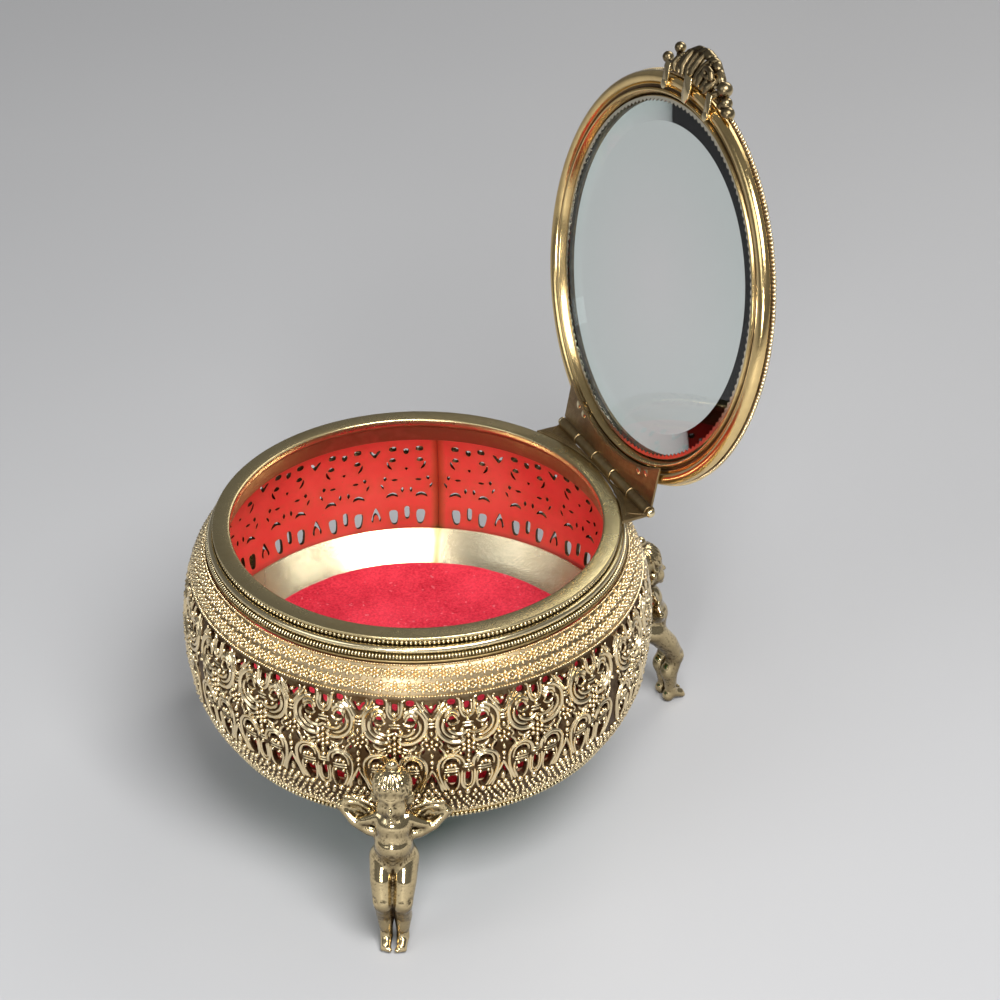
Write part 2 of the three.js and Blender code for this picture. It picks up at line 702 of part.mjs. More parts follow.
function thumbLeaf() {
  const lobe = V2(corner.x - lobeSetIn, corner.y - lobeReach);
  const bulge = lobeSetIn / 2;
  const outline = new THREE.Shape();
  outline.absarc(0, 0, thumbInner, -Math.PI / 2 - thumbSpread, -Math.PI / 2 + thumbSpread, false);
  outline.bezierCurveTo(corner.x + bulge / 2, corner.y - bulge, lobe.x + bulge, lobe.y, lobe.x, lobe.y);
  outline.quadraticCurveTo(lobe.x / 2, tipOut, 0, tipOut);
  outline.quadraticCurveTo(-lobe.x / 2, tipOut, -lobe.x, lobe.y);
  outline.bezierCurveTo(-lobe.x - bulge, lobe.y, -corner.x - bulge / 2, corner.y - bulge, -corner.x, corner.y);
  return extruded(outline, thumbBottom, thumbTop);
}

// five ruffles fan out over the leaf
function ruffle(i) {
  const sink = ruffleRadius / 4;
  const root = V3(0.64 * i * ruffleSpread, -thumbInner - ruffleSetIn, thumbTop);
  const tip = V3(
    i * ruffleSpread,
    tipOut + ruffleSetIn * (1 + 0.6 * Math.abs(i)),
    thumbTop - sink,
  );
  return limb(root, tip, 0.77 * ruffleRadius, ruffleRadius);
}

// A tongue and two ears lie under the lid ring, and a web joins them to the leaf.
function thumbTongues() {
  const webHalf = corner.x - 1;
  const webOut = -thumbInner - 1.5;
  const pieces = [
    block(-tongueHalfWidth, tongueHalfWidth, webOut, -tongueInner, lidLeafBottom, lidLeafTop),
    block(-webHalf, webHalf, webOut, corner.y, lidLeafBottom, lidLeafTop),
    block(-webHalf, webHalf, webOut, -thumbInner, lidLeafBottom, thumbBottom + fit),
  ];
  for (const [x, y] of thumbRivets) {
    const ear = rod(earRadius, lidLeafBottom, lidLeafTop, x, y);
    const neck = block(x - earRadius, x + earRadius, -thumbInner, y, lidLeafBottom, lidLeafTop);
    pieces.push(ear, neck);
  }
  return pieces;
}

function thumbPiece() {
  const pieces = [thumbLeaf(), ...[-2, -1, 0, 1, 2].map(ruffle), ...thumbTongues()];
  for (const side of [-1, 1]) {
    for (const [past, out] of berries) {
      const across = corner.x + past;
      const y = -Math.sqrt(thumbInner ** 2 - across ** 2) - out;
      pieces.push(roundBall(V3(side * across, y, (thumbBottom + thumbTop) / 2), thumbBall));
    }
  }
  const lidRoom = disc(lidLeafTop, laceTop, thumbInner);
  return cut(join(pieces), [lidRoom, ...rivetHoles(thumbRivets, lidLeafBottom - fit, lidBottom)]);
}
node(lid, 'thumb_lift', thumbPiece(), brightGilt);
rivets('thumb_lift_rivet', thumbRivets);

// ---------------------------------------------------------------- assembly
// the lid turns about the hinge pin
const swing = new THREE.Group();
swing.position.set(0, hingeBack, hingeHeight);
swing.rotation.x = -openAngle;
lid.position.set(0, -hingeBack, -hingeHeight);
swing.add(lid);
casket.add(swing);
casket.position.y = axisBack;
group.add(casket);

export default group;
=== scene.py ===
import json
import math

import bpy
import numpy as np
from mathutils import Matrix, Vector, geometry


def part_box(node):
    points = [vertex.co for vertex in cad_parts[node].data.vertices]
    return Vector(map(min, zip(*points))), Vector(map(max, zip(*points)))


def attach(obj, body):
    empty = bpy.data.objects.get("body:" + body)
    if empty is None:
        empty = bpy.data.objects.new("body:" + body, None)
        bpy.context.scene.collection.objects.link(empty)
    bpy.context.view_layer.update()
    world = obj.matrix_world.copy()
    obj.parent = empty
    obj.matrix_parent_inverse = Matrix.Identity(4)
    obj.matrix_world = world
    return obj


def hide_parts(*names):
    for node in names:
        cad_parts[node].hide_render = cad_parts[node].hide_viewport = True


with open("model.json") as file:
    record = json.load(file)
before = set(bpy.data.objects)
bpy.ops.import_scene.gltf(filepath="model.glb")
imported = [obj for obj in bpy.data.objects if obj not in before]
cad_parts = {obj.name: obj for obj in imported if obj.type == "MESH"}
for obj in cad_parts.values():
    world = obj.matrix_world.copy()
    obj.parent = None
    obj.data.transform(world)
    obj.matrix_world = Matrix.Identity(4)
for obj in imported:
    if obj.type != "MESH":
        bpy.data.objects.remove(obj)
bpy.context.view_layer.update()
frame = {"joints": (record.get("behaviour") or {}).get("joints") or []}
scene = bpy.context.scene

# Work is in millimetres about the casket's axis, with the lid closed, and ends in metres in the row frame.
MM = 0.001
TURN = 2 * math.pi


def box_mm(node):
    low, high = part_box(node)
    return np.array(low) / MM, np.array(high) / MM


rim_low, rim_high = box_mm("rim_ring")
AXIS = np.array([0.0, (rim_low[1] + rim_high[1]) / 2, 0.0])
RIM_TOP = rim_high[2]
hinge = frame["joints"][0]
HINGE_AT = np.array(hinge["pos_m"]) / MM - AXIS
OPEN_ANGLE = math.radians(hinge["range_deg"][1])

# sizes of the wall, in millimetres: an ellipse turned about the axis
WALL_LOW, WALL_HIGH = 28.0, 71.8
BELLY_RADIUS = 57.9
EDGE_RADIUS = 51.3
WALL_ARC = math.radians(72)
WALL_SHEET = 1.5
WALL_MIDDLE = (WALL_LOW + WALL_HIGH) / 2
ELLIPSE_WIDE = (BELLY_RADIUS - EDGE_RADIUS) / (1 - math.cos(WALL_ARC))
ELLIPSE_TALL = (WALL_HIGH - WALL_LOW) / 2 / math.sin(WALL_ARC)
UNITS = 7
FOOT_ANGLES = {"back": math.radians(90), "left": math.radians(210), "right": math.radians(330)}
UNIT_ANGLE = TURN / 3 / UNITS
UNIT = UNIT_ANGLE * BELLY_RADIUS
SEAM_CLEARANCE = 0.03  # how far each panel's sheet stops short of its third of the wall
STRAND_DEPTH, BEAD_DEPTH = -0.28, -0.3  # where strands and beads are laid, from the wall's surface
GROUND_DEPTH = -0.38  # the sheet's outer face
BAND_FOOT, BAND_LIFT = 14.9, 0.12  # above this rise, the sheet stands this much further out
RELIEF = 0.47  # how far the belly is drawn in, so that the relief ends at the wall's size


# ------------------------------------------------------------ making and placing meshes
def to_row(points, on_lid):
    """Millimetres about the axis, lid closed, to metres in the row frame, lid open."""
    p = np.asarray(points, float).reshape(-1, 3).copy()
    if on_lid:
        y = p[:, 1] - HINGE_AT[1]
        z = p[:, 2] - HINGE_AT[2]
        c, s = math.cos(OPEN_ANGLE), math.sin(OPEN_ANGLE)
        p[:, 1] = HINGE_AT[1] + c * y + s * z
        p[:, 2] = HINGE_AT[2] - s * y + c * z
    return (p + AXIS) * MM


def in_scene(name, data):
    made = bpy.data.objects.new(name, data)
    scene.collection.objects.link(made)
    return made


def plain_mesh(name, points, faces=()):
    mesh = bpy.data.meshes.new(name)
    mesh.from_pydata(points, [], faces)
    return mesh


def mark(mesh, key, values, kind="FLOAT", domain="POINT"):
    """Stores a named value for each point or face."""
    values = np.asarray(values, bool if kind == "BOOLEAN" else np.float32).ravel()
    mesh.attributes.new(key, kind, domain).data.foreach_set("vector" if kind == "FLOAT_VECTOR" else "value", values)


def finished(name, mesh, body, slot, nodes, angle):
    """Puts a mesh on its body as a piece, with its finish and the solids that it stands for."""
    mesh.update()
    mesh.shade_smooth()
    mesh.set_sharp_from_angle(angle=math.radians(angle))
    made = in_scene(name, mesh)
    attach(made, body)
    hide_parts(*nodes)
    return made


def piece(name, points, faces, material, body, slot, nodes, angle=40, **marks):
    """A piece from points in millimetres; the marks are what its material reads at each point."""
    mesh = plain_mesh(name, to_row(points, body == "lid").tolist(), [list(map(int, f)) for f in faces])
    mesh.materials.append(material)
    for key, values in marks.items():
        mark(mesh, key, values)
    return finished(name, mesh, body, slot, nodes, angle)


# ------------------------------------------------------------ plain shapes
def lengths(line):
    """The length along a line at each of its points."""
    return np.concatenate([[0], np.cumsum(np.hypot(*np.diff(line, axis=0).T))])


def resampled(line, places, measure):
    """The points of a line at the given places, by a measure that each of its points has."""
    return np.stack([np.interp(places, measure, column) for column in np.asarray(line, float).T], 1)


def ring(radius, height, sides):
    return [(radius * math.cos(TURN * k / sides), radius * math.sin(TURN * k / sides), height) for k in range(sides)]


def strip(a, b, sides, back=False):
    """Four-sided faces between two rings of points, which start at a and at b."""
    faces = [(a + k, b + k, b + (k + 1) % sides, a + (k + 1) % sides) for k in range(sides)]
    return [(p, s, r, q) for p, q, r, s in faces] if back else faces


def domed(rings, sides):
    """Faces from the first point down over the rings that follow it."""
    faces = [(0, 1 + k, 1 + (k + 1) % sides) for k in range(sides)]
    for i in range(rings - 1):
        faces += strip(1 + i * sides, 1 + (i + 1) * sides, sides)
    return faces


def facing_out(points, faces):
    """The same points and faces, with the faces turned over if they look inward."""
    p = np.asarray(points, float)
    total = 0.0
    for f in faces:
        for k in range(1, len(f) - 1):
            total += float(np.dot(p[f[0]], np.cross(p[f[k]], p[f[k + 1]])))
    return points, faces if total > 0 else [f[::-1] for f in faces]


def eased(outline, default=0.12, steps=3):
    """Rounds the corners of a closed outline of (radius, height) or (radius, height, corner radius)."""
    out = []
    count = len(outline)
    for i in range(count):
        here = np.array(outline[i][:2], float)
        size = outline[i][2] if len(outline[i]) > 2 else default
        back = np.array(outline[i - 1][:2], float) - here
        on = np.array(outline[(i + 1) % count][:2], float) - here
        lb, lo = np.linalg.norm(back), np.linalg.norm(on)
        back, on = back / lb, on / lo
        half = math.acos(max(-1, min(1, float(back @ on)))) / 2
        if size <= 0 or half > math.radians(85):
            out.append(tuple(here))
            continue
        reach = min(size / math.tan(half), lb * 0.48, lo * 0.48)
        radius = reach * math.tan(half)
        bisector = (back + on) / np.linalg.norm(back + on)
        centre = here + bisector * radius / math.sin(half)
        start, end = here + back * reach - centre, here + on * reach - centre
        a0, a1 = math.atan2(start[1], start[0]), math.atan2(end[1], end[0])
        sweep = (a1 - a0 + math.pi) % TURN - math.pi
        for k in range(steps + 1):
            a = a0 + sweep * k / steps
            out.append((centre[0] + radius * math.cos(a), centre[1] + radius * math.sin(a)))
    return out


def turned(outline, sides=300):
    """Turns a closed outline about the axis. Points on the axis close into a pole."""
    rows = []
    points = []
    for r, z in outline:
        if r < 1e-6:
            rows.append([len(points)] * sides)
            points.append((0, 0, z))
        else:
            rows.append(list(range(len(points), len(points) + sides)))
            points += ring(r, z, sides)
    faces = []
    for i, row in enumerate(rows):
        after = rows[(i + 1) % len(rows)]
        if row[0] == row[1] and after[0] == after[1]:
            continue
        for k in range(sides):
            m = (k + 1) % sides
            quad = [row[k], row[m], after[m], after[k]]
            faces.append([v for j, v in enumerate(quad) if v != quad[j - 1]])
    return facing_out(points, faces)


def joined(*parts):
    """Several (points, faces) as one."""
    points, faces = [], []
    for p, f in parts:
        start = len(points)
        points += [tuple(v) for v in p]
        faces += [[i + start for i in face] for face in f]
    return points, faces


# ------------------------------------------------------------ shader building
class Tree:
    """Short ways to add and join nodes in a material, an effect group or a geometry tree."""

    def __init__(self, tree):
        self.tree = tree

    def feed(self, socket, value):
        if isinstance(value, bpy.types.NodeSocket):
            self.tree.links.new(value, socket)
        else:
            socket.default_value = value

    def fill(self, node, inputs):
        for key, value in inputs.items():
            self.feed(node.inputs[key], value)

    def add(self, kind, inputs=None, **settings):
        made = self.tree.nodes.new(kind)
        for key, value in settings.items():
            setattr(made, key, value)
        self.fill(made, inputs or {})
        return made

    def out(self, kind, inputs=None, **settings):
        return self.add(kind, inputs, **settings).outputs[0]

    def sum(self, operation, a, b=0.0, clamp=False):
        return self.out("ShaderNodeMath", {0: a, 1: b}, operation=operation, use_clamp=clamp)

    def span(self, value, low, high, to_low=0.0, to_high=1.0):
        return self.out("ShaderNodeMapRange", {0: value, 1: low, 2: high, 3: to_low, 4: to_high})

    def blend(self, share, a, b):
        return self.add("ShaderNodeMix", {0: share, 6: a, 7: b}, data_type="RGBA").outputs[2]

    def noise(self, where, scale, detail, rough=0.5):
        return self.out("ShaderNodeTexNoise", {"Vector": where, "Scale": scale, "Detail": detail, "Roughness": rough})

    def stretched(self, where, scale):
        return self.out("ShaderNodeMapping", {"Vector": where, "Scale": scale})

    def marked(self, key):
        return self.add("ShaderNodeAttribute", attribute_name=key).outputs["Fac"]

    def group(self, made, inputs):
        return self.add("ShaderNodeGroup", inputs, node_tree=made).outputs

    def xyz(self, x=0.0, y=0.0, z=0.0):
        return self.out("ShaderNodeCombineXYZ", {0: x, 1: y, 2: z})

    def parts(self, vector):
        return self.add("ShaderNodeSeparateXYZ", {0: vector}).outputs

    def of_object(self, source):
        return self.add("GeometryNodeObjectInfo", {"Object": source}).outputs["Geometry"]

    def circle(self, count, radius):
        return self.out("GeometryNodeCurvePrimitiveCircle", {"Resolution": count, "Radius": radius})

    def join(self, *parts):
        node = self.add("GeometryNodeJoinGeometry")
        for part in parts:
            self.tree.links.new(part, node.inputs[0])
        return node.outputs[0]


COLOUR, NUMBER, VECTOR = "NodeSocketColor", "NodeSocketFloat", "NodeSocketVector"
GEOMETRY, OBJECT, WHOLE, MATERIAL = "NodeSocketGeometry", "NodeSocketObject", "NodeSocketInt", "NodeSocketMaterial"


def effect(name, inputs, outputs):
    """Makes a shader effect of the function below it: a node group whose inputs have these values by default."""
    def make(build):
        group = bpy.data.node_groups.new(name, "ShaderNodeTree")
        for socket, value in inputs.items():
            kind = NUMBER if isinstance(value, float) else COLOUR if len(value) == 4 else VECTOR
            group.interface.new_socket(name=socket, in_out="INPUT", socket_type=kind).default_value = value
        for socket, kind in outputs.items():
            group.interface.new_socket(name=socket, in_out="OUTPUT", socket_type=kind)
        tree = Tree(group)
        build(tree, tree.add("NodeGroupInput").outputs, tree.add("NodeGroupOutput").inputs)
        return group
    return make


@effect("tarnish_and_shade", {
    "Where": (0, 0, 0), "Metal": (0.8, 0.62, 0.33, 1), "Shade": (0.15, 0.09, 0.04, 1), "Recess": 0.0,
    "Cloud scale": 150.0, "Cloud amount": 0.2, "Polish": 0.2, "Dulled": 0.5,
}, {"Colour": COLOUR, "Roughness": NUMBER})
def tarnish_and_shade(t, given, out):
    """Tarnish in clouds, coarse and fine, and painted shade with tarnish in the recesses."""
    clouds = t.noise(given["Where"], given["Cloud scale"], 4.0, 0.6)
    patches = t.span(clouds, 0.42, 0.72)
    fine = t.span(t.noise(given["Where"], t.sum("MULTIPLY", given["Cloud scale"], 7.0), 2.0), 0.3, 0.7)
    cover = t.sum("MULTIPLY", patches, given["Cloud amount"])
    cover = t.sum("ADD", cover, t.sum("MULTIPLY", fine, t.sum("MULTIPLY", given["Cloud amount"], 0.35)))
    # the Recess input adds painted shade, with tarnish, to the cover
    cover = t.sum("ADD", cover, given["Recess"], clamp=True)
    t.feed(out["Colour"], t.blend(cover, given["Metal"], given["Shade"]))
    t.feed(out["Roughness"], t.span(cover, 0.0, 1.0, given["Polish"], given["Dulled"]))


@effect("handling marks", {
    "Where": (0, 0, 0), "Scratch scale": 3500.0, "Swell scale": 260.0, "Scratches": 0.1, "Swell": 0.5,
}, {"Height": NUMBER})
def handling(t, given, out):
    """Fine scratches over a slight unevenness of the cast or spun surface."""
    stretched = t.stretched(given["Where"], (1.0, 0.12, 0.4))
    scratches = t.span(t.noise(stretched, given["Scratch scale"], 3.0, 0.7), 0.35, 0.65)
    swell = t.noise(given["Where"], given["Swell scale"], 1.0)
    height = t.sum("ADD", t.sum("MULTIPLY", scratches, given["Scratches"]), t.sum("MULTIPLY", swell, given["Swell"]))
    t.feed(out["Height"], height)


@effect("cloth pile", {
    "Where": (0, 0, 0), "Deep": (0.3, 0.0, 0.02, 1), "Light": (0.7, 0.03, 0.08, 1), "Lint colour": (0.8, 0.3, 0.35, 1),
    "Lint": 0.3, "Tuft scale": 2600.0, "Patch scale": 90.0,
}, {"Colour": COLOUR, "Height": NUMBER})
def pile(t, given, out):
    """Short cut pile or pressed fibre: tufts, brushed patches and specks of lint."""
    tufts = t.noise(given["Where"], given["Tuft scale"], 3.0, 0.7)
    brushed = t.noise(given["Where"], given["Patch scale"], 3.0, 0.55)
    lint = t.span(t.noise(given["Where"], t.sum("MULTIPLY", given["Tuft scale"], 0.45), 1.0), 0.7, 0.74)
    shade = t.sum("MULTIPLY", t.span(tufts, 0.3, 0.7), 0.55)
    shade = t.sum("ADD", shade, t.sum("MULTIPLY", t.span(brushed, 0.3, 0.7), 0.45), clamp=True)
    colour = t.blend(shade, given["Deep"], given["Light"])
    t.feed(out["Colour"], t.blend(t.sum("MULTIPLY", lint, given["Lint"]), colour, given["Lint colour"]))
    t.feed(out["Height"], tufts)


MARK_DEPTH = 0.05  # of scratches and unevenness, in millimetres


def new_material(name):
    """A material, its tree and the place that its textures are laid by."""
    material = bpy.data.materials.new(name)
    material.use_nodes = True
    tree = Tree(material.node_tree)
    return material, tree, tree.add("ShaderNodeTexCoord").outputs["Object"]


def surface(tree, inputs, height=None, depth=MARK_DEPTH):
    """Feeds a material's shader, and raises its surface by a height map."""
    shader = tree.tree.nodes["Principled BSDF"]
    tree.fill(shader, inputs)
    if height is not None:
        bump = tree.out("ShaderNodeBump", {"Strength": 1.0, "Distance": depth * MM, "Height": height})
        tree.feed(shader.inputs["Normal"], bump)


def gilt(name, metal, shade, polish, dulled, clouds, swell=(260.0, 0.5), scratches=0.1):
    """A gilt finish: painted shade with tarnish where the piece's recess marks say, clouds of tarnish and handling
    marks.
    """
    material, t, where = new_material(name)
    # the colour here is clouds of tarnish, and painted shade with tarnish in the recesses
    worn = t.group(tarnish_and_shade, {
        "Where": where, "Metal": (*metal, 1), "Shade": (*shade, 1), "Recess": t.marked("recess"),
        "Cloud scale": clouds[0], "Cloud amount": clouds[1], "Polish": polish, "Dulled": dulled,
    })
    marks = t.group(handling, {"Where": where, "Swell scale": swell[0], "Swell": swell[1], "Scratches": scratches})
    surface(t, {"Base Color": worn["Colour"], "Roughness": worn["Roughness"], "Metallic": 1.0}, marks["Height"])
    return material


# each finish's second colour is the dark that painted shade and tarnish turn its metal to
FILIGREE_GILT = gilt("filigree_gilt", (0.95, 0.77, 0.47), (0.085, 0.045, 0.018), 0.16, 0.5, (130.0, 0.16), (900.0, 0.6))
RIM_GILT = gilt("rim_gilt", (0.70, 0.57, 0.31), (0.30, 0.22, 0.10), 0.24, 0.42, (60.0, 0.45), (180.0, 0.4), 0.3)
WIRE_GILT = gilt("wire_gilt", (0.86, 0.72, 0.44), (0.07, 0.045, 0.015), 0.18, 0.55, (90.0, 0.25), (700.0, 0.3))
DISH_GOLD = gilt("dish_gold", (0.90, 0.78, 0.53), (0.52, 0.38, 0.18), 0.22, 0.38, (45.0, 0.3), (150.0, 0.5), 0.25)
FIGURE_GILT = gilt("figure_gilt", (0.84, 0.67, 0.38), (0.045, 0.026, 0.01), 0.1, 0.36, (160.0, 0.14), (420.0, 0.5))
LID_GILT = gilt("lid_gilt", (0.93, 0.68, 0.31), (0.10, 0.055, 0.02), 0.12, 0.35, (70.0, 0.25), (200.0, 0.4), 0.2)
HINGE_BROWN = gilt("hinge_brown", (0.40, 0.29, 0.14), (0.10, 0.06, 0.03), 0.28, 0.5, (110.0, 0.6), (300.0, 0.5), 0.8)
BEZEL_GILT = gilt("bezel_gilt", (0.86, 0.80, 0.64), (0.25, 0.19, 0.10), 0.16, 0.35, (140.0, 0.2))


def cloth(name, deep, light, lint, lint_share, tuft, patch, sheen, sheen_tint, depth):
    """A cloth with a short pile, which is also its bump."""
    material, t, where = new_material(name)
    fibre = t.group(pile, {
        "Where": where, "Deep": (*deep, 1), "Light": (*light, 1), "Lint colour": (*lint, 1),
        "Tuft scale": tuft, "Patch scale": patch, "Lint": lint_share,
    })
    surface(t, {
        "Base Color": fibre["Colour"], "Roughness": 0.95, "Specular IOR Level": 0.15,
        "Sheen Weight": sheen, "Sheen Roughness": 0.35, "Sheen Tint": (*sheen_tint, 1),
    }, fibre["Height"], depth)
    return material


VELVET = cloth(
    "red_velvet", (0.42, 0.004, 0.02), (1.0, 0.07, 0.115), (1.0, 0.4, 0.45), 0.3, 1500.0, 80.0,
    0.6, (1.0, 0.3, 0.35), 0.3,
)
FELT = cloth(
    "green_felt", (0.010, 0.085, 0.038), (0.03, 0.19, 0.09), (0.2, 0.5, 0.35), 0.15, 2200.0, 60.0,
    0.3, (0.4, 0.9, 0.6), 0.2,
)


def board_material():
    material, t, where = new_material("pressed_board")
    grain = t.noise(t.stretched(where, (1, 1, 6)), 900.0, 4.0, 0.7)
    colour = t.blend(t.span(grain, 0.3, 0.7), (0.42, 0.33, 0.21, 1), (0.66, 0.56, 0.40, 1))
    surface(t, {"Base Color": colour, "Roughness": 0.9}, grain)
    return material


def lacquer_material():
    """Clear red lacquer on the metal, thin at the seams and the edges of the openings, where the gilt shows."""
    material, t, where = new_material("red_lacquer")
    clouds = t.span(t.noise(where, 55.0, 3.0), 0.3, 0.7)
    flecks = t.span(t.noise(where, 1300.0, 2.0), 0.68, 0.76)
    colour = t.blend(clouds, (0.78, 0.085, 0.065, 1), (0.92, 0.15, 0.11, 1))
    bare = t.sum("ADD", t.sum("MULTIPLY", flecks, 0.35), t.marked("worn"), clamp=True)
    marks = t.group(handling, {"Where": where, "Swell scale": 400.0, "Swell": 0.7, "Scratches": 0.1})
    surface(t, {
        "Base Color": t.blend(bare, colour, (0.42, 0.28, 0.10, 1)),
        "Roughness": t.span(clouds, 0.0, 1.0, 0.28, 0.4),
        "Metallic": t.span(bare, 0.0, 1.0, 0.35, 1.0),
        "Coat Weight": 0.5,
        "Coat Roughness": 0.15,
    }, marks["Height"])
    return material


def glass_material():
    """Clear crown glass, greener where the edge is seen through its depth, with dust and a few smears."""
    material, t, where = new_material("bevelled_glass")
    smears = t.span(t.noise(where, 38.0, 4.0, 0.6), 0.45, 0.75)
    dust = t.span(t.noise(where, 1500.0, 2.0), 0.62, 0.8)
    surface(t, {
        "Base Color": t.blend(t.marked("edge"), (0.995, 1.0, 0.997, 1), (0.80, 0.94, 0.89, 1)),
        "Roughness": t.sum("ADD", t.sum("MULTIPLY", smears, 0.012), t.sum("MULTIPLY", dust, 0.02)),
        "Transmission Weight": 1.0,
        "IOR": 1.5,
    })
    return material


BOARD = board_material()
LACQUER = lacquer_material()
GLASS = glass_material()


# ------------------------------------------------------------ the wall's shape
def wall_table(count=400):
    """Radius, height and length from the belly at points along the wall's profile."""
    a = np.linspace(-WALL_ARC, WALL_ARC, count)
    r = BELLY_RADIUS - ELLIPSE_WIDE + ELLIPSE_WIDE * np.cos(a)
    z = WALL_MIDDLE + ELLIPSE_TALL * np.sin(a)
    length = lengths(np.stack([r, z], 1))
    return r, z, length - length[-1] / 2


PROFILE_R, PROFILE_Z, PROFILE_LENGTH = wall_table()
PROFILE_HALF = float(PROFILE_LENGTH[-1])


def along(rise):
    """Length along the profile, from the belly, of a height above the belly."""
    return np.interp(np.asarray(rise, float) + WALL_MIDDLE, PROFILE_Z, PROFILE_LENGTH)


# ------------------------------------------------------------ filigree pattern
# Each unit is drawn flat: across from its middle, and the rise above the belly, in millimetres.
# A strand is (width, points); a bead is (across, rise, half width, half height, turn, height).
def flow(points, step=0.45):
    """A smooth line through the points, cut into even steps."""
    p = np.array(points, float)
    p[:, 1] = along(p[:, 1])
    ends = np.vstack([2 * p[0] - p[1], p, 2 * p[-1] - p[-2]])
    fine = []
    for i in range(1, len(ends) - 2):
        a, b, c, d = ends[i - 1:i + 3]
        for t in np.linspace(0, 1, 12, endpoint=False):
            bend, twist = 2 * a - 5 * b + 4 * c - d, 3 * b - a - 3 * c + d
            fine.append(0.5 * (2 * b + (c - a) * t + bend * t * t + twist * t ** 3))
    fine.append(p[-1])
    fine = np.array(fine)
    length = lengths(fine)
    count = max(3, int(round(length[-1] / step)) + 1)
    return resampled(fine, np.linspace(0, length[-1], count), length)


MIRRORED_STRANDS = [
    # the loop round the upper opening, with its outward tips
    (0.44, [(2.5, 14.5), (1.9, 14.3), (1.75, 13.2), (1.75, 11.9), (1.1, 10.4), (0.0, 9.5)]),
    (0.30, [(1.0, 13.9), (1.05, 12.6), (0.95, 11.4), (0.0, 10.7)]),
    # the leaf over the crescent
    (0.62, [(2.2, 10.0), (2.6, 11.2), (3.7, 11.75), (4.9, 11.2), (5.4, 10.0)]),
    (0.34, [(2.4, 8.9), (3.0, 10.3), (3.8, 10.7), (4.7, 10.2), (5.1, 9.0)]),
    # the great scroll of the heart, and the strand inside it
    (0.58, [(3.6, 12.6), (5.1, 12.3), (6.6, 10.9), (7.35, 9.0), (7.1, 6.6), (5.8, 4.6), (3.9, 3.5), (1.8, 3.4),
            (1.1, 4.2), (1.7, 4.9)]),
    (0.40, [(5.6, 9.6), (6.1, 8.0), (5.7, 6.4), (4.3, 5.0), (2.5, 4.5)]),
    (0.42, [(4.8, 7.5), (4.2, 6.4), (2.9, 5.6), (1.3, 5.5), (0.0, 6.3)]),
    (0.36, [(2.0, 8.9), (2.9, 8.2), (3.9, 8.1), (4.7, 8.6)]),
    # the scrolls that meet between two units
    (0.46, [(5.2, 14.3), (5.7, 13.5), (6.5, 12.3), (7.5, 10.6), (8.45, 9.3)]),
    (0.34, [(6.9, 14.2), (6.5, 13.6), (7.1, 12.6), (7.9, 11.5)]),
    # the round arches of the lower row
    (0.46, [(1.25, -4.4), (1.15, -2.9), (2.0, -1.1), (3.9, -0.25), (5.9, -0.9), (7.1, -2.6), (7.3, -4.8), (7.0, -7.0),
            (6.2, -9.4), (5.2, -11.6)]),
    (0.34, [(2.1, -3.3), (2.5, -1.8), (3.9, -1.05), (5.4, -1.6), (6.15, -3.1), (6.2, -4.6)]),
    (0.34, [(5.6, -6.0), (5.9, -7.6), (5.4, -9.6), (4.5, -11.6)]),
    (0.30, [(2.3, -5.9), (2.1, -8.0), (2.3, -10.4), (3.0, -12.0)]),
    # the cup between the two slots
    (0.40, [(1.5, -5.4), (1.6, -7.6), (1.45, -9.6), (0.8, -11.1), (0.0, -11.7)]),
    (0.28, [(0.85, -5.9), (0.95, -8.0), (0.75, -9.8), (0.0, -10.7)]),
    # ties between the rosettes and the arches
    (0.34, [(1.9, 1.9), (3.2, 1.4), (4.4, 1.9), (5.0, 2.8)]),
    (0.34, [(2.0, 1.0), (3.0, 0.3), (3.5, -0.5)]),
    (0.34, [(6.9, 2.2), (6.0, 1.2), (5.6, 0.0), (6.0, -0.9)]),
    (0.30, [(6.9, 4.0), (6.2, 3.1), (6.6, 2.2)]),
    # two bars across each slot
    (0.26, [(2.2, -4.7), (5.7, -4.7)]),
    (0.26, [(2.2, -5.5), (5.7, -5.5)]),
]
MIDDLE_STRANDS = [
    (0.26, [(-1.35, 8.25), (1.35, 8.25)]),
    (0.26, [(-1.35, 7.45), (1.35, 7.45)]),
    (0.26, [(-1.2, -3.6), (1.2, -3.6)]),
    (0.26, [(-1.2, -4.4), (1.2, -4.4)]),
]
BETWEEN_STRANDS = [
    (0.30, [(-0.9, 8.6), (0.9, 8.6)]),
    (0.30, [(-0.8, 7.8), (0.8, 7.8)]),
    (0.40, [(0.0, -4.6), (-0.7, -6.4), (-1.7, -8.6), (-2.3, -10.6), (-2.6, -12.0)]),
    (0.40, [(0.0, -4.6), (0.7, -6.4), (1.7, -8.6), (2.3, -10.6), (2.6, -12.0)]),
    (0.30, [(-1.0, 7.0), (-1.2, 5.6), (-0.5, 4.6)]),
    (0.30, [(1.0, 7.0), (1.2, 5.6), (0.5, 4.6)]),
]


def flower(across, middle, petals, reach, turn, petal, core, rise=lambda place: place):
    """Petals of (half width, half height, height) round a core of (radius, height)."""
    wide, tall, height = petal
    beads = [(across, rise(middle), core[0], core[0], 0, core[1])]
    for k in range(petals):
        a = turn + TURN * k / petals
        beads.append((across + reach * math.cos(a), rise(middle + reach * math.sin(a)), wide, tall, a, height))
    return beads


def rosette(across, rise, reach, petals, turn, core, petal):
    return flower(across, rise, petals, reach, turn, (petal, petal * 0.78, petal * 0.85), (core, core * 1.1))


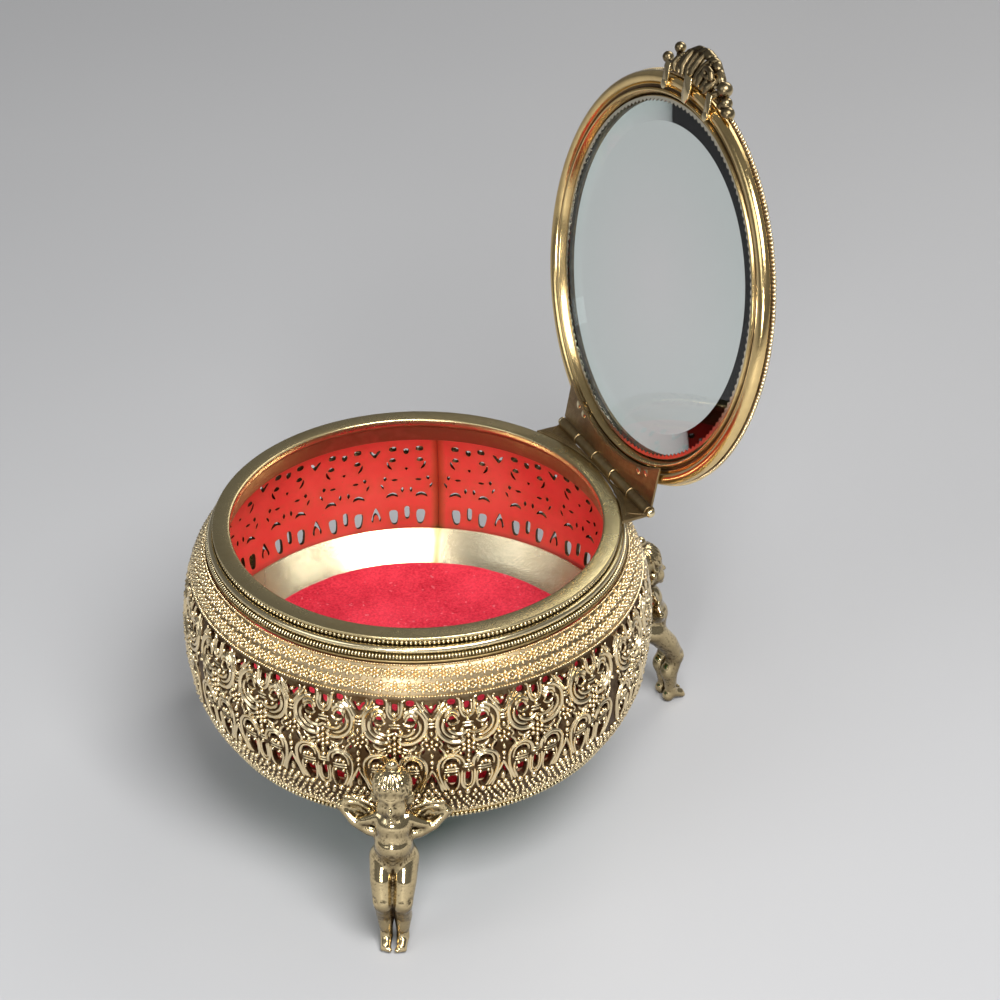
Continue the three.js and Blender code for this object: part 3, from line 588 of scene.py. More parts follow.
def pattern_beads():
    """The beads of a unit's open part, and those between two units."""
    unit = rosette(0.0, 1.9, 1.35, 6, 0.52, 0.55, 0.66)
    unit += [
        (0.0, 10.9, 0.5, 0.9, 0, 0.45), (0.0, 9.0, 0.55, 0.5, 0, 0.5), (0.0, 4.9, 0.55, 0.7, 0, 0.5),
        (0.0, -0.9, 0.5, 0.75, 0, 0.5), (0.0, -2.4, 0.6, 0.6, 0, 0.5), (0.0, -12.6, 0.75, 0.9, 0, 0.6),
        (0.0, -5.4, 0.42, 0.6, 0, 0.4),
    ]
    for side in (-1, 1):
        for across, rise, wide, tall, turn, height in [
            (1.5, 6.6, 0.55, 0.75, 0.5, 0.5), (3.4, 7.1, 0.5, 0.5, 0, 0.45), (7.35, 4.6, 0.55, 0.55, 0, 0.6),
            (6.9, 5.9, 0.4, 0.4, 0, 0.4), (3.6, 0.9, 0.5, 0.95, 0.2, 0.5), (6.6, 12.0, 0.42, 0.7, -0.6, 0.4),
            (3.2, -3.6, 0.5, 0.55, 0, 0.5), (4.1, -3.3, 0.55, 0.6, 0, 0.55), (5.0, -3.7, 0.5, 0.55, 0, 0.5),
            (4.8, -6.4, 0.45, 0.45, 0, 0.4), (2.9, -6.4, 0.42, 0.42, 0, 0.4), (3.8, -12.4, 0.8, 0.7, 0, 0.6),
            (2.0, -12.9, 0.6, 0.7, 0.4, 0.5), (5.4, -12.9, 0.65, 0.6, -0.4, 0.5), (7.0, -12.9, 0.6, 0.65, 0, 0.5),
            (4.9, 13.2, 0.4, 0.5, 0, 0.35), (2.5, 12.4, 0.38, 0.55, 0, 0.35), (5.0, 0.9, 0.42, 0.42, 0, 0.4),
            (5.2, -8.0, 0.34, 0.5, 0, 0.3), (1.9, 0.0, 0.42, 0.42, 0, 0.4),
        ]:
            unit.append((side * across, rise, wide, tall, side * turn, height))
    between = rosette(0.0, 2.7, 1.15, 5, 0.3, 0.45, 0.56)
    between += [
        (0.0, 12.9, 0.62, 0.62, 0, 0.6), (0.0, 9.7, 0.45, 0.55, 0, 0.45), (0.0, 6.1, 0.5, 0.8, 0, 0.5),
        (0.0, -0.2, 0.5, 0.9, 0, 0.5), (0.0, -2.2, 0.6, 0.7, 0, 0.5), (0.0, -3.7, 0.42, 0.42, 0, 0.4),
        (0.0, -9.3, 0.6, 1.3, 0, 0.55), (-0.9, -11.6, 0.7, 0.7, 0, 0.55), (0.9, -11.6, 0.7, 0.7, 0, 0.55),
        (0.0, -12.9, 0.7, 0.7, 0, 0.55),
    ]
    return unit, between


def rise_at(length):
    """The rise above the belly at a length along the profile."""
    return float(np.interp(length, PROFILE_LENGTH, PROFILE_Z)) - WALL_MIDDLE


def band_beads():
    """The close-set bands above and below the open part: bead lines, daisies and rows of leaves."""
    unit = []
    line_count, daisy_count, rows = 24, 5, 2
    for k in range(line_count):
        across = (k + 0.5) / line_count * UNIT - UNIT / 2
        unit.append((across, 15.35, 0.36, 0.33, 0, 0.36))
        unit.append((across, -21.4, 0.36, 0.33, 0, 0.3))
        unit.append((across, 21.55, 0.37, 0.36, 0, 0.5))
    low, high = float(along(15.85)), float(along(21.25))
    pitch = (high - low) / rows
    for row in range(rows):
        middle = low + (row + 0.5) * pitch
        for k in range(daisy_count):
            across = (k + 0.5 + 0.5 * (row % 2)) / daisy_count * UNIT - UNIT / 2
            # by length along the profile, so that the daisies stay round where the wall leans
            unit += flower(across, middle, 6, 1.0, 0.52, (0.7, 0.52, 0.37), (0.44, 0.481), rise_at)
            edge = across + UNIT / daisy_count / 2
            for lift, lean in ((0.85, 0.9), (-0.85, -0.9)):
                unit.append((edge - 0.3, rise_at(middle + lift), 0.5, 0.27, lean, 0.3))
                unit.append((edge + 0.3, rise_at(middle + lift), 0.5, 0.27, -lean, 0.3))
            unit.append((edge, rise_at(middle), 0.42, 0.42, 0, 0.4))
    for row, (rise, number, wide, tall) in enumerate([
        (-14.4, 11, 0.55, 0.42), (-15.8, 11, 0.42, 0.42), (-17.0, 9, 0.62, 0.4), (-18.2, 13, 0.4, 0.36),
        (-19.3, 11, 0.5, 0.34), (-20.3, 15, 0.38, 0.3),
    ]):
        for k in range(number):
            across = (k + 0.5 + 0.5 * (row % 2)) / number * UNIT - UNIT / 2
            unit.append((across, rise + 0.16 * (-1) ** k, wide, tall, 0.3 * (-1) ** (k + row), 0.34))
    return unit


def rounded_hole(points, steps=3, ease=0.42):
    """A hole's outline with its corners rounded."""
    p = np.array(points, float)
    out = []
    for i in range(len(p)):
        here, back, on = p[i], p[i - 1], p[(i + 1) % len(p)]
        a, b = here + (back - here) * ease, here + (on - here) * ease
        for t in np.linspace(0, 1, steps + 1):
            out.append((1 - t) ** 2 * a + 2 * t * (1 - t) * here + t * t * b)
    return np.array(out)


def pattern_holes():
    """The openings of a unit, and those between two units."""
    unit = [
        [(-0.8, 13.5), (-0.75, 11.9), (0.0, 11.2), (0.75, 11.9), (0.8, 13.5)],
        [(-0.7, -5.9), (-0.75, -8.2), (-0.5, -9.7), (0.5, -9.7), (0.75, -8.2), (0.7, -5.9)],
        [(-0.6, 6.6), (0.6, 6.6), (0.0, 5.5)],
    ]
    for side in (-1, 1):
        shapes = [
            [(2.65, 12.6), (4.75, 12.6), (4.75, 14.4), (2.65, 14.4)],
            [(2.7, 9.0), (3.1, 9.9), (3.8, 10.2), (4.5, 9.8), (4.8, 9.0), (3.8, 8.6)],
            [(2.3, -3.0), (2.7, -1.9), (3.9, -1.35), (5.2, -1.9), (5.9, -3.2), (4.9, -2.7), (3.9, -2.4), (3.0, -2.7)],
            [(2.6, -6.9), (4.9, -6.9), (5.0, -8.6), (4.3, -11.2), (2.9, -11.2), (2.5, -9.4)],
            [(2.2, 2.5), (3.5, 2.1), (4.3, 2.7), (3.0, 3.0)],
            [(3.7, 5.9), (4.9, 6.6), (5.4, 7.9), (5.2, 9.1), (4.6, 7.6)],
            [(5.9, 2.2), (6.4, 3.1), (6.0, 3.9), (5.2, 3.3)],
            [(6.2, -0.4), (7.0, 0.6), (7.2, 1.6), (6.3, 0.9)],
            [(1.1, 0.3), (1.7, -0.7), (1.2, -1.8), (0.7, -0.8)],
        ]
        unit += [[(side * x, y) for x, y in (shape if side > 0 else shape[::-1])] for shape in shapes]
    between = [
        [(0.0, 10.4), (1.0, 12.0), (1.7, 13.4), (0.8, 13.3), (0.0, 11.9), (-0.8, 13.3), (-1.7, 13.4), (-1.0, 12.0)],
        [(0.0, -5.4), (0.8, -7.4), (1.5, -9.4), (0.9, -10.2), (0.7, -8.4), (0.0, -7.6), (-0.7, -8.4), (-0.9, -10.2),
         (-1.5, -9.4), (-0.8, -7.4)],
    ]
    return unit, between


# ------------------------------------------------------------ geometry trees
HELPERS = []


def geometry_tree(name, inputs):
    """Makes a geometry tree of the function below it, ended by Realize Instances and Set Material."""
    def make(build):
        group = bpy.data.node_groups.new(name, "GeometryNodeTree")
        group.interface.new_socket(name="Geometry", in_out="INPUT", socket_type=GEOMETRY)
        for socket, kind in inputs.items():
            group.interface.new_socket(name=socket, in_out="INPUT", socket_type=kind)
        group.interface.new_socket(name="Geometry", in_out="OUTPUT", socket_type=GEOMETRY)
        t = Tree(group)
        given = t.add("NodeGroupInput").outputs
        real = t.out("GeometryNodeRealizeInstances", {"Geometry": build(t, given)})
        last = t.out("GeometryNodeSetMaterial", {"Geometry": real, "Material": given["Finish"]})
        if "Lining" in given:
            inside = t.out("GeometryNodeInputNamedAttribute", {"Name": "lacquered"}, data_type="BOOLEAN")
            lining = {"Geometry": last, "Selection": inside, "Material": given["Lining"]}
            last = t.out("GeometryNodeSetMaterial", lining)
        t.add("NodeGroupOutput", {"Geometry": last})
        return group
    return make


def grown(name, tree, values, base=None):
    """The plain mesh that a geometry tree makes from a base mesh, in millimetres."""
    holder = in_scene(name, base or bpy.data.meshes.new(name + "_seed"))
    modifier = holder.modifiers.new("made", "NODES")
    modifier.node_group = tree
    for item in tree.interface.items_tree:
        if item.in_out == "INPUT" and item.name in values:
            modifier[item.identifier] = values[item.name]
    bpy.context.view_layer.update()
    evaluated = holder.evaluated_get(bpy.context.evaluated_depsgraph_get())
    mesh = bpy.data.meshes.new_from_object(evaluated)
    bpy.data.objects.remove(holder)
    return mesh


def placed_piece(name, mesh, body, slot, nodes, turn=0.0, angle=40):
    """Takes a mesh in millimetres about the axis, turned about it, to its place as a finished piece."""
    co = np.zeros(len(mesh.vertices) * 3)
    mesh.vertices.foreach_get("co", co)
    co = co.reshape(-1, 3)
    c, s = math.cos(turn), math.sin(turn)
    co[:, :2] = co[:, :2] @ np.array([[c, s], [-s, c]])
    mesh.vertices.foreach_set("co", to_row(co, body == "lid").ravel())
    mesh.name = name
    finished(name, mesh, body, slot, nodes, angle)


def helper_object(name, data):
    """An object that only feeds a geometry tree; it is removed with the others when the trees have run."""
    HELPERS.append(in_scene(name, data))
    return HELPERS[-1]


def helper_curves(name, lines):
    """Curves without bends between their points, which are (x, y, z, radius)."""
    data = bpy.data.curves.new(name, "CURVE")
    data.dimensions = "3D"
    for line in lines:
        spline = data.splines.new("POLY")
        spline.points.add(len(line) - 1)
        for point, (x, y, z, radius) in zip(spline.points, line):
            point.co = (x, y, z, 1)
            point.radius = radius
    return helper_object(name, data)


def strand_curves(name, strands):
    """Strands as curves whose point radius is the strand's, drawn in at both ends."""
    lines = []
    for width, line in strands:
        length = lengths(line)
        tip = np.minimum(length, length[-1] - length) / (1.6 * width)
        radius = width * np.minimum(1, 0.5 + 0.5 * tip)
        lines.append([(x, y, STRAND_DEPTH, r) for (x, y), r in zip(line, radius)])
    return helper_curves(name, lines)


def bead_points(name, beads, by_length=False):
    """Bead places as loose points, by rise or by length along the profile, with each bead's size and turn."""
    mesh = plain_mesh(name, [(x, y if by_length else float(along(y)), BEAD_DEPTH) for x, y, *_ in beads])
    mark(mesh, "bead_size", [(wide, tall, height + 0.22) for _, _, wide, tall, _, height in beads], "FLOAT_VECTOR")
    mark(mesh, "bead_turn", [(0, 0, turn) for *_, turn, _ in beads], "FLOAT_VECTOR")
    return helper_object(name, mesh)


def dome(sides=8):
    """A low bead with a flat foot, one unit in radius and height."""
    points = [(0, 0, 1.0), *ring(0.58, 0.8, sides), *ring(0.92, 0.35, sides), *ring(1.0, -0.25, sides)]
    foot = tuple(range(3 * sides, 2 * sides, -1))
    return plain_mesh("bead", points, [*domed(3, sides), foot])


def inside_outline(points, outline):
    """Which points lie inside a closed outline."""
    x, y = points[:, 0], points[:, 1]
    found = np.zeros(len(points), bool)
    for (x0, y0), (x1, y1) in zip(outline, np.roll(outline, -1, 0)):
        crosses = (y0 > y) != (y1 > y)
        with np.errstate(divide="ignore", invalid="ignore"):
            found ^= crosses & (x < (x1 - x0) * (y - y0) / (y1 - y0) + x0)
    return found


def panel_holes():
    """The outlines of all the openings in one panel, by length along the profile."""
    unit_holes, between_holes = pattern_holes()
    holes = []
    for k in range(UNITS):
        middle = (k - (UNITS - 1) / 2) * UNIT
        holes += [rounded_hole(h) + [middle, 0] for h in unit_holes]
        if k + 1 < UNITS:
            holes += [rounded_hole(h) + [middle + UNIT / 2, 0] for h in between_holes]
    for h in holes:
        h[:, 1] = along(h[:, 1])
    return holes


def triangles_round(holes, half, unit_columns=8, rows=26):
    """A flat sheet cut into triangles, all wound the same way, with the holes left out."""
    across = np.linspace(-half, half, unit_columns * UNITS + 1)
    up = np.linspace(-PROFILE_HALF, PROFILE_HALF, rows + 1)
    border = [(x, up[0]) for x in across] + [(half, y) for y in up[1:]]
    border += [(x, up[-1]) for x in across[-2::-1]] + [(-half, y) for y in up[-2:0:-1]]
    grid = np.array([(x, y) for x in across[1:-1] for y in up[1:-1]])
    free = np.ones(len(grid), bool)
    for h in holes:
        low, high = h.min(0) - 0.25, h.max(0) + 0.25
        free &= ~((grid > low) & (grid < high)).all(1)
    points = [np.array(border)] + holes + [grid[free]]
    edges, start = [], 0
    for outline in points[:-1]:
        n = len(outline)
        edges += [(start + i, start + (i + 1) % n) for i in range(n)]
        start += n
    flat, _, triangles, *_ = geometry.delaunay_2d_cdt([Vector(p) for p in np.vstack(points)], edges, [], 0, 1e-5)
    flat = np.array([tuple(p) for p in flat])
    triangles = np.array([tuple(t) for t in triangles])
    centres = flat[triangles].mean(1)
    keep = np.ones(len(triangles), bool)
    for h in holes:
        low, high = h.min(0), h.max(0)
        near = np.where(((centres > low) & (centres < high)).all(1))[0]
        keep[near] &= ~inside_outline(centres[near], h)
    triangles = triangles[keep]
    a, b, c = (flat[triangles[:, i]] for i in range(3))
    area = (b[:, 0] - a[:, 0]) * (c[:, 1] - a[:, 1]) - (b[:, 1] - a[:, 1]) * (c[:, 0] - a[:, 0])
    triangles[area < 0] = triangles[area < 0][:, ::-1]
    return flat, triangles


def pierced_sheet():
    """The sheet of one panel, still flat, with its openings: gilt outside, lacquered inside."""
    half = UNIT * UNITS / 2 - SEAM_CLEARANCE
    flat, triangles = triangles_round(panel_holes(), half)
    sides = np.vstack([triangles[:, [0, 1]], triangles[:, [1, 2]], triangles[:, [2, 0]]])
    known = set(map(tuple, sides.tolist()))
    rim = sorted((i, j) for i, j in known if (j, i) not in known)
    n = len(flat)
    band = np.clip((flat[:, 1] - float(along(BAND_FOOT))) / 0.5, 0, 1)
    outer = np.column_stack([flat, GROUND_DEPTH + BAND_LIFT * band])
    inner = np.column_stack([flat, np.full(n, -WALL_SHEET)])
    faces = triangles.tolist() + (triangles[:, ::-1] + n).tolist() + [[j, i, i + n, j + n] for i, j in rim]
    mesh = plain_mesh("pierced_sheet", np.vstack([outer, inner]).tolist(), faces)
    lacquered = [False] * len(triangles) + [True] * len(triangles) + [False] * len(rim)
    mark(mesh, "lacquered", lacquered, "BOOLEAN", "FACE")
    on_rim = np.zeros(n, bool)
    on_rim[[i for i, _ in rim]] = True
    worn = np.where(on_rim, 0.2, 0.0) + np.clip((np.abs(flat[:, 0]) - half + 2.2) / 1.8, 0, 1)
    mark(mesh, "worn", np.tile(worn, 2).clip(0, 1))
    return mesh


@geometry_tree("filigree panel", {
    "Unit strands": OBJECT, "Unit beads": OBJECT, "Between strands": OBJECT, "Between beads": OBJECT, "Bead": OBJECT,
    "Profile": OBJECT, "Ground": OBJECT, "Units": WHOLE, "Unit width": NUMBER, "Half profile": NUMBER,
    "Belly radius": NUMBER, "Strand sides": WHOLE, "Finish": MATERIAL, "Lining": MATERIAL,
})
def filigree_tree(t, given):
    """Strands and beads of one unit, repeated round the panel, laid on the sheet and bent over the wall."""
    def strands(source):
        return t.out("GeometryNodeCurveToMesh", {
            "Curve": t.of_object(source), "Profile Curve": t.circle(given["Strand sides"], 1.0),
            "Scale": t.out("GeometryNodeInputRadius"), "Fill Caps": True,
        })

    def beads(source):
        size, turn = (
            t.out("GeometryNodeInputNamedAttribute", {"Name": key}, data_type="FLOAT_VECTOR")
            for key in ("bead_size", "bead_turn")
        )
        return t.out("GeometryNodeInstanceOnPoints", {
            "Points": t.of_object(source), "Instance": t.of_object(given["Bead"]), "Scale": size,
            "Rotation": t.out("FunctionNodeEulerToRotation", {"Euler": turn}),
        })

    def repeated(what, count):
        last = t.sum("SUBTRACT", count, 1.0)
        start = t.xyz(t.sum("MULTIPLY", t.sum("MULTIPLY", last, -0.5), given["Unit width"]))
        step = t.xyz(given["Unit width"])
        row = t.out("GeometryNodeMeshLine", {"Count": count, "Start Location": start, "Offset": step})
        laid = t.out("GeometryNodeInstanceOnPoints", {"Points": row, "Instance": what})
        return t.out("GeometryNodeRealizeInstances", {"Geometry": laid})

    units = repeated(t.join(strands(given["Unit strands"]), beads(given["Unit beads"])), given["Units"])
    fewer = t.sum("SUBTRACT", given["Units"], 1.0)
    between = repeated(t.join(strands(given["Between strands"]), beads(given["Between beads"])), fewer)
    whole = t.join(given["Geometry"], units, between)
    place = t.parts(t.out("GeometryNodeInputPosition"))
    # painted shade with tarnish: the deeper a point lies below the relief, the darker it is, and the sheet darkest
    depth = t.span(place[2], -0.05, GROUND_DEPTH, 0.0, 0.9)
    whole = t.out("GeometryNodeStoreNamedAttribute", {"Geometry": whole, "Name": "recess", "Value": depth})
    profile = t.add("GeometryNodeSampleCurve", {
        "Curves": t.of_object(given["Profile"]), "Length": t.sum("ADD", place[1], given["Half profile"]),
    }, mode="LENGTH").outputs
    at, heading = t.parts(profile["Position"]), t.parts(profile["Tangent"])
    radius = t.sum("ADD", at[0], t.sum("MULTIPLY", heading[2], place[2]))
    height = t.sum("SUBTRACT", at[2], t.sum("MULTIPLY", heading[0], place[2]))
    angle = t.sum("DIVIDE", place[0], given["Belly radius"])
    out, across = (t.sum("MULTIPLY", radius, t.sum(share, angle)) for share in ("COSINE", "SINE"))
    bent = t.xyz(out, across, height)
    laid = t.out("GeometryNodeSetPosition", {"Geometry": whole, "Position": bent})
    return t.join(laid, t.of_object(given["Ground"]))


def profile_curve(count=120):
    """The wall's profile, its belly drawn in by the relief that stands up from it, so the wall keeps its size."""
    s = np.linspace(-PROFILE_HALF, PROFILE_HALF, count)
    r = np.interp(s, PROFILE_LENGTH, PROFILE_R) - RELIEF * (1 - (s / PROFILE_HALF) ** 2)
    z = np.interp(s, PROFILE_LENGTH, PROFILE_Z)
    return helper_curves("wall_profile", [[(x, 0, height, 1) for x, height in zip(r, z)]])


BEAD = helper_object("bead", dome())
STRAND_SIDES = 7


def make_panels():
    unit_strands = [(w, flow(line)) for w, line in MIRRORED_STRANDS]
    unit_strands += [(w, line * [-1, 1]) for w, line in unit_strands]
    unit_strands += [(w, flow(line)) for w, line in MIDDLE_STRANDS]
    unit_beads, between = pattern_beads()
    mesh = grown("panel", filigree_tree, {
        "Unit strands": strand_curves("unit_strands", unit_strands),
        "Between strands": strand_curves("between_strands", [(w, flow(line)) for w, line in BETWEEN_STRANDS]),
        "Unit beads": bead_points("unit_beads", unit_beads + band_beads()),
        "Between beads": bead_points("between_beads", between),
        "Bead": BEAD,
        "Profile": profile_curve(),
        "Units": UNITS,
        "Unit width": UNIT,
        "Half profile": PROFILE_HALF,
        "Belly radius": BELLY_RADIUS,
        "Strand sides": STRAND_SIDES,
        "Finish": FILIGREE_GILT,
        "Lining": LACQUER,
    }, pierced_sheet())
    for place, angle in FOOT_ANGLES.items():
        placed_piece(f"filigree_panel_{place}", mesh.copy(), "casket", "gilt_panel", [f"panel_{place}"], angle, 50)


make_panels()


# ------------------------------------------------------------ turned rings, dish and base
# Radii and heights are about the casket's axis, in millimetres, as the frame has them.
def seam_shade(points, turn, width):
    """How near each point is to a seam that runs up the inside at one angle."""
    angle = np.arctan2(points[:, 1], points[:, 0]) - turn
    angle = (angle + math.pi) % TURN - math.pi
    off = np.abs(angle) * np.hypot(points[:, 0], points[:, 1])
    return np.exp(-((off / width) ** 2))


def turned_piece(name, outline, material, body, slot, node, angle=40, **marks):
    """A ring or disc turned about the axis, marked by functions of radius and height."""
    points, faces = turned(outline)
    x, y, z = np.array(points).T
    marks = {key: found(np.hypot(x, y), z) for key, found in marks.items()}
    piece(name, points, faces, material, body, slot, [node], angle, **marks)


def make_rim():
    """The ring that the lid closes on, with seats outside it for the wires."""
    profile = [
        (45.0, 76.2, 0.5), (45.0, 77.83, 0.55), (49.3, 77.68, 0.3), (49.3, 76.93, 0.2), (47.6, 76.93, 0.1),
        (47.6, 73.86, 0.1), (49.6, 73.86, 0.1), (49.6, 72.42, 0.1), (51.0, 72.39, 0.2), (51.06, 71.98, 0.15),
        (49.95, 70.57, 0.1), (46.4, 70.57, 0.4), (46.3, 74.6, 0.2), (45.9, 75.0, 0.3),
    ]

    # painted shade, with tarnish, under the lip inside the bore and on the seats behind the wires
    def recess(r, z):
        under = np.clip((76.2 - z) / 1.2, 0, 1) * (r < 46.8) * 0.75
        return np.maximum(under, (r > 47.0) * (z < 76.95) * 0.8)

    turned_piece("rim_ring_turned", eased(profile), RIM_GILT, "casket", "gilt_ring", "rim_ring", recess=recess)


@geometry_tree("ring of beads", {
    "Bead": OBJECT, "Count": WHOLE, "Radius": NUMBER, "Height": NUMBER, "Bead along": NUMBER, "Bead across": NUMBER,
    "Core": NUMBER, "Finish": MATERIAL,
})
def bead_ring_tree(t, given):
    """Beads close together on a turned core, each one turned to face out from the axis."""
    circle = t.circle(given["Count"], given["Radius"])
    points = t.add("GeometryNodeCurveToPoints", {"Curve": circle}, mode="EVALUATED").outputs
    laid = t.out("GeometryNodeInstanceOnPoints", {
        "Points": points["Points"],
        "Instance": t.of_object(given["Bead"]),
        "Rotation": t.out("FunctionNodeAlignRotationToVector", {"Vector": points["Tangent"]}, axis="X"),
        "Scale": t.xyz(given["Bead along"], given["Bead across"], given["Bead across"]),
    })
    core = t.out("GeometryNodeCurveToMesh", {
        "Curve": t.circle(240, given["Radius"]), "Profile Curve": t.circle(10, given["Core"]),
    })
    # painted shade on the core between the beads
    core = t.out("GeometryNodeStoreNamedAttribute", {"Geometry": core, "Name": "recess", "Value": 0.9})
    both = t.join(t.out("GeometryNodeRealizeInstances", {"Geometry": laid}), core)
    return t.out("GeometryNodeTransform", {"Geometry": both, "Translation": t.xyz(z=given["Height"])})


def round_bead(sides=10, rings=6):
    """A closed round bead of radius one."""
    points = [(0, 0, 1.0)]
    for i in range(1, rings):
        points += ring(math.sin(math.pi * i / rings), math.cos(math.pi * i / rings), sides)
    last, a = len(points), len(points) - sides
    foot = [(a + k, last, a + (k + 1) % sides) for k in range(sides)]
    return plain_mesh("round_bead", [*points, (0, 0, -1.0)], domed(rings - 1, sides) + foot)


def make_wires():
    bead = helper_object("round_bead", round_bead())
    rings = [
        # name, node, count, radius, height, bead along, bead across, core
        ("rim_bead_wire_beads", "rim_bead_wire", 290, 48.514, 76.026, 0.53, 0.69, 0.45),
        ("rim_milled_wire_ridges", "rim_milled_wire", 400, 50.514, 73.235, 0.40, 0.65, 0.52),
        ("base_bead_wire_beads", "base_bead_wire", 300, 50.364, 26.465, 0.53, 0.74, 0.5),
    ]
    for name, node, count, radius, height, along_wire, across, core in rings:
        mesh = grown(name, bead_ring_tree, {
            "Bead": bead, "Count": count, "Radius": radius, "Height": height, "Bead along": along_wire,
            "Bead across": across, "Core": core, "Finish": WIRE_GILT,
        })
        placed_piece(name, mesh, "casket", "gilt_wire", [node])
    centre_r, centre_z, size = 49.664, 74.707, 0.85
    section = [(centre_r + x, centre_z + y) for x, y, _ in ring(size, 0, 18)]
    # painted shade on the wire's inner side, where it lies against the rim ring
    turned_piece("half_round_wire_turned", section, WIRE_GILT, "casket", "gilt_wire", "rim_half_round_wire",
                 recess=lambda r, z: np.clip((centre_r - 0.1 - r) / 0.5, 0, 1))


def make_base():
    """The ring under the wall, with a half-round groove for the pads of the feet."""
    middle = 47.614
    hollow = [(middle + 1.4 * math.cos(a), 25.515 + 1.4 * math.sin(a), 0) for a in np.linspace(0, math.pi, 12)]
    profile = [
        (49.95, 29.23, 0.1), (51.06, 27.82, 0.1), (51.06, 27.42, 0.15), (49.41, 27.42, 0.1), (49.41, 25.52, 0.18),
        *hollow, (46.2, 25.515, 0.15), (46.2, 27.1, 0.1), (41.5, 27.115, 0.1), (41.5, 29.23, 0.1),
    ]
    # painted shade on the ring's inner face
    turned_piece("base_ring_turned", eased(profile), LID_GILT, "casket", "gilt_ring", "base_ring",
                 recess=lambda r, z: (r < 46.25) * (z > 25.9) * 0.7)


def make_dish():
    """A thin spun dish with a sloping side and a rolled lip, and the line of a seam up its inside."""
    profile = [
        (0, 29.54), (44.9, 29.54), (45.6, 29.9), (53.95, 38.1), (54.05, 38.35), (53.85, 38.62), (53.6, 38.62),
        (53.3, 38.3), (49.0, 34.32), (44.9, 30.6), (44.2, 30.26), (0, 30.24),
    ]
    points, faces = turned(profile)
    p = np.array(points)
    seam = math.radians(150)
    recess = 0.9 * seam_shade(p, seam, 0.45) + 0.35 * seam_shade(p, seam, 1.8)
    # painted shade darkens the rolled lip, where it meets the wall
    recess += 0.6 * np.clip(np.hypot(p[:, 0], p[:, 1]) - 53.0, 0, 1)
    piece("dish_spun", points, faces, DISH_GOLD, "casket", "gilt_dish", ["base_dish"], recess=np.clip(recess, 0, 1))


def disc_mesh(rings, sides, radius_at, height_at, thickness, edge):
    """A soft disc: a crowned top of many rings, a rolled edge and a flat back."""
    points = [(0.0, 0.0, height_at(0.0, 0.0))]
    for i in range(1, rings + 1):
        share = i / rings
        for k in range(sides):
            a = TURN * k / sides
            r = radius_at(a) * (1 - (1 - share) ** 1.6) if share < 1 else radius_at(a)
            drop = edge * max(0.0, (r - radius_at(a) + 1.2 * edge) / (1.2 * edge)) ** 2
            points.append((r * math.cos(a), r * math.sin(a), height_at(r, a) - drop))
    base = len(points)
    top_rim = base - sides
    bottom = height_at(0, 0) - thickness
    points += [(x * 0.992, y * 0.992, bottom) for x, y, _ in points[top_rim:]]
    faces = domed(rings, sides) + strip(top_rim, base, sides)
    faces += [(base + (k + 1) % sides, base + k, len(points)) for k in range(sides)]
    points.append((0, 0, bottom))
    return points, faces


def make_velvet():
    """The velvet is stuck over a thin board: a little full, with a turned-down edge that isn't quite even."""
    rng = np.random.default_rng(7)
    waves = [(n, rng.uniform(0.02, 0.07), rng.uniform(0, TURN)) for n in (3, 5, 9, 14, 23, 37)]

    def radius_at(a):
        return 46.35 + sum(size * math.sin(n * a + start) for n, size, start in waves)

    def height_at(r, a):
        swell = 0.10 * math.sin(0.11 * r * math.cos(a) + 1.0) * math.cos(0.13 * r * math.sin(a))
        return 32.86 + swell * min(1.0, r / 10)

    points, faces = disc_mesh(56, 240, radius_at, height_at, 0.9, 0.55)
    p = np.array(points)
    nap = rng.normal(0, 0.028, len(p))
    top = p[:, 2] > 32.1
    p[top, 2] += nap[top]
    made = piece("velvet_pad_soft", p, faces, VELVET, "casket", "velvet_red", ["velvet_pad"], 80)


def make_felt():
    """The felt is cut to a circle by hand and laid on its card."""
    rng = np.random.default_rng(11)
    waves = [(n, rng.uniform(0.01, 0.04), rng.uniform(0, TURN)) for n in (4, 7, 12, 21)]
    radius = 45.6

    def radius_at(a):
        return radius - 0.1 + sum(size * math.sin(n * a + start) for n, size, start in waves)

    points, faces = disc_mesh(40, 200, radius_at, lambda r, a: 25.5, 0.38, 0.05)
    p = np.array(points)
    below = p[:, 2] < 25.3
    p[below, 2] += rng.normal(0, 0.012, below.sum())
    made = piece("felt_disc_cut", p, faces, FELT, "casket", "felt_green", ["felt_disc"], 80)


make_rim()
make_wires()
make_base()
make_dish()
make_velvet()
make_felt()


# ------------------------------------------------------------ lid, drawn closed
def make_lid_ring():
    """A rolled outer ring, a channel inside it and a bore that slopes in to the glass."""
    roll = [(48.1 + 1.6 * math.cos(a), 80.56 + 1.6 * math.sin(a), 0) for a in np.radians(np.linspace(0, -158, 14))]
    profile = [
        *roll, (46.4, 79.5, 0.25), (46.1, 79.95, 0.3), (45.6, 79.95, 0.3), (45.35, 79.35, 0.25),
        (44.9, 79.1, 0.3), (44.6, 79.5, 0.2), (43.9, 80.9, 0.1), (43.9, 81.42, 0.1), (49.6, 81.42, 0.3),
    ]

    # painted shade, with tarnish, in the channel and on the bore
    def recess(r, z):
        channel = np.exp(-(((r - 45.85) / 0.45) ** 4)) * (z < 80.6) * 0.95
        return np.maximum(channel, (r < 44.55) * (z < 81.3) * 0.55)

    turned_piece("lid_ring_rolled", eased(profile), LID_GILT, "lid", "gilt_ring", "lid_ring", recess=recess)


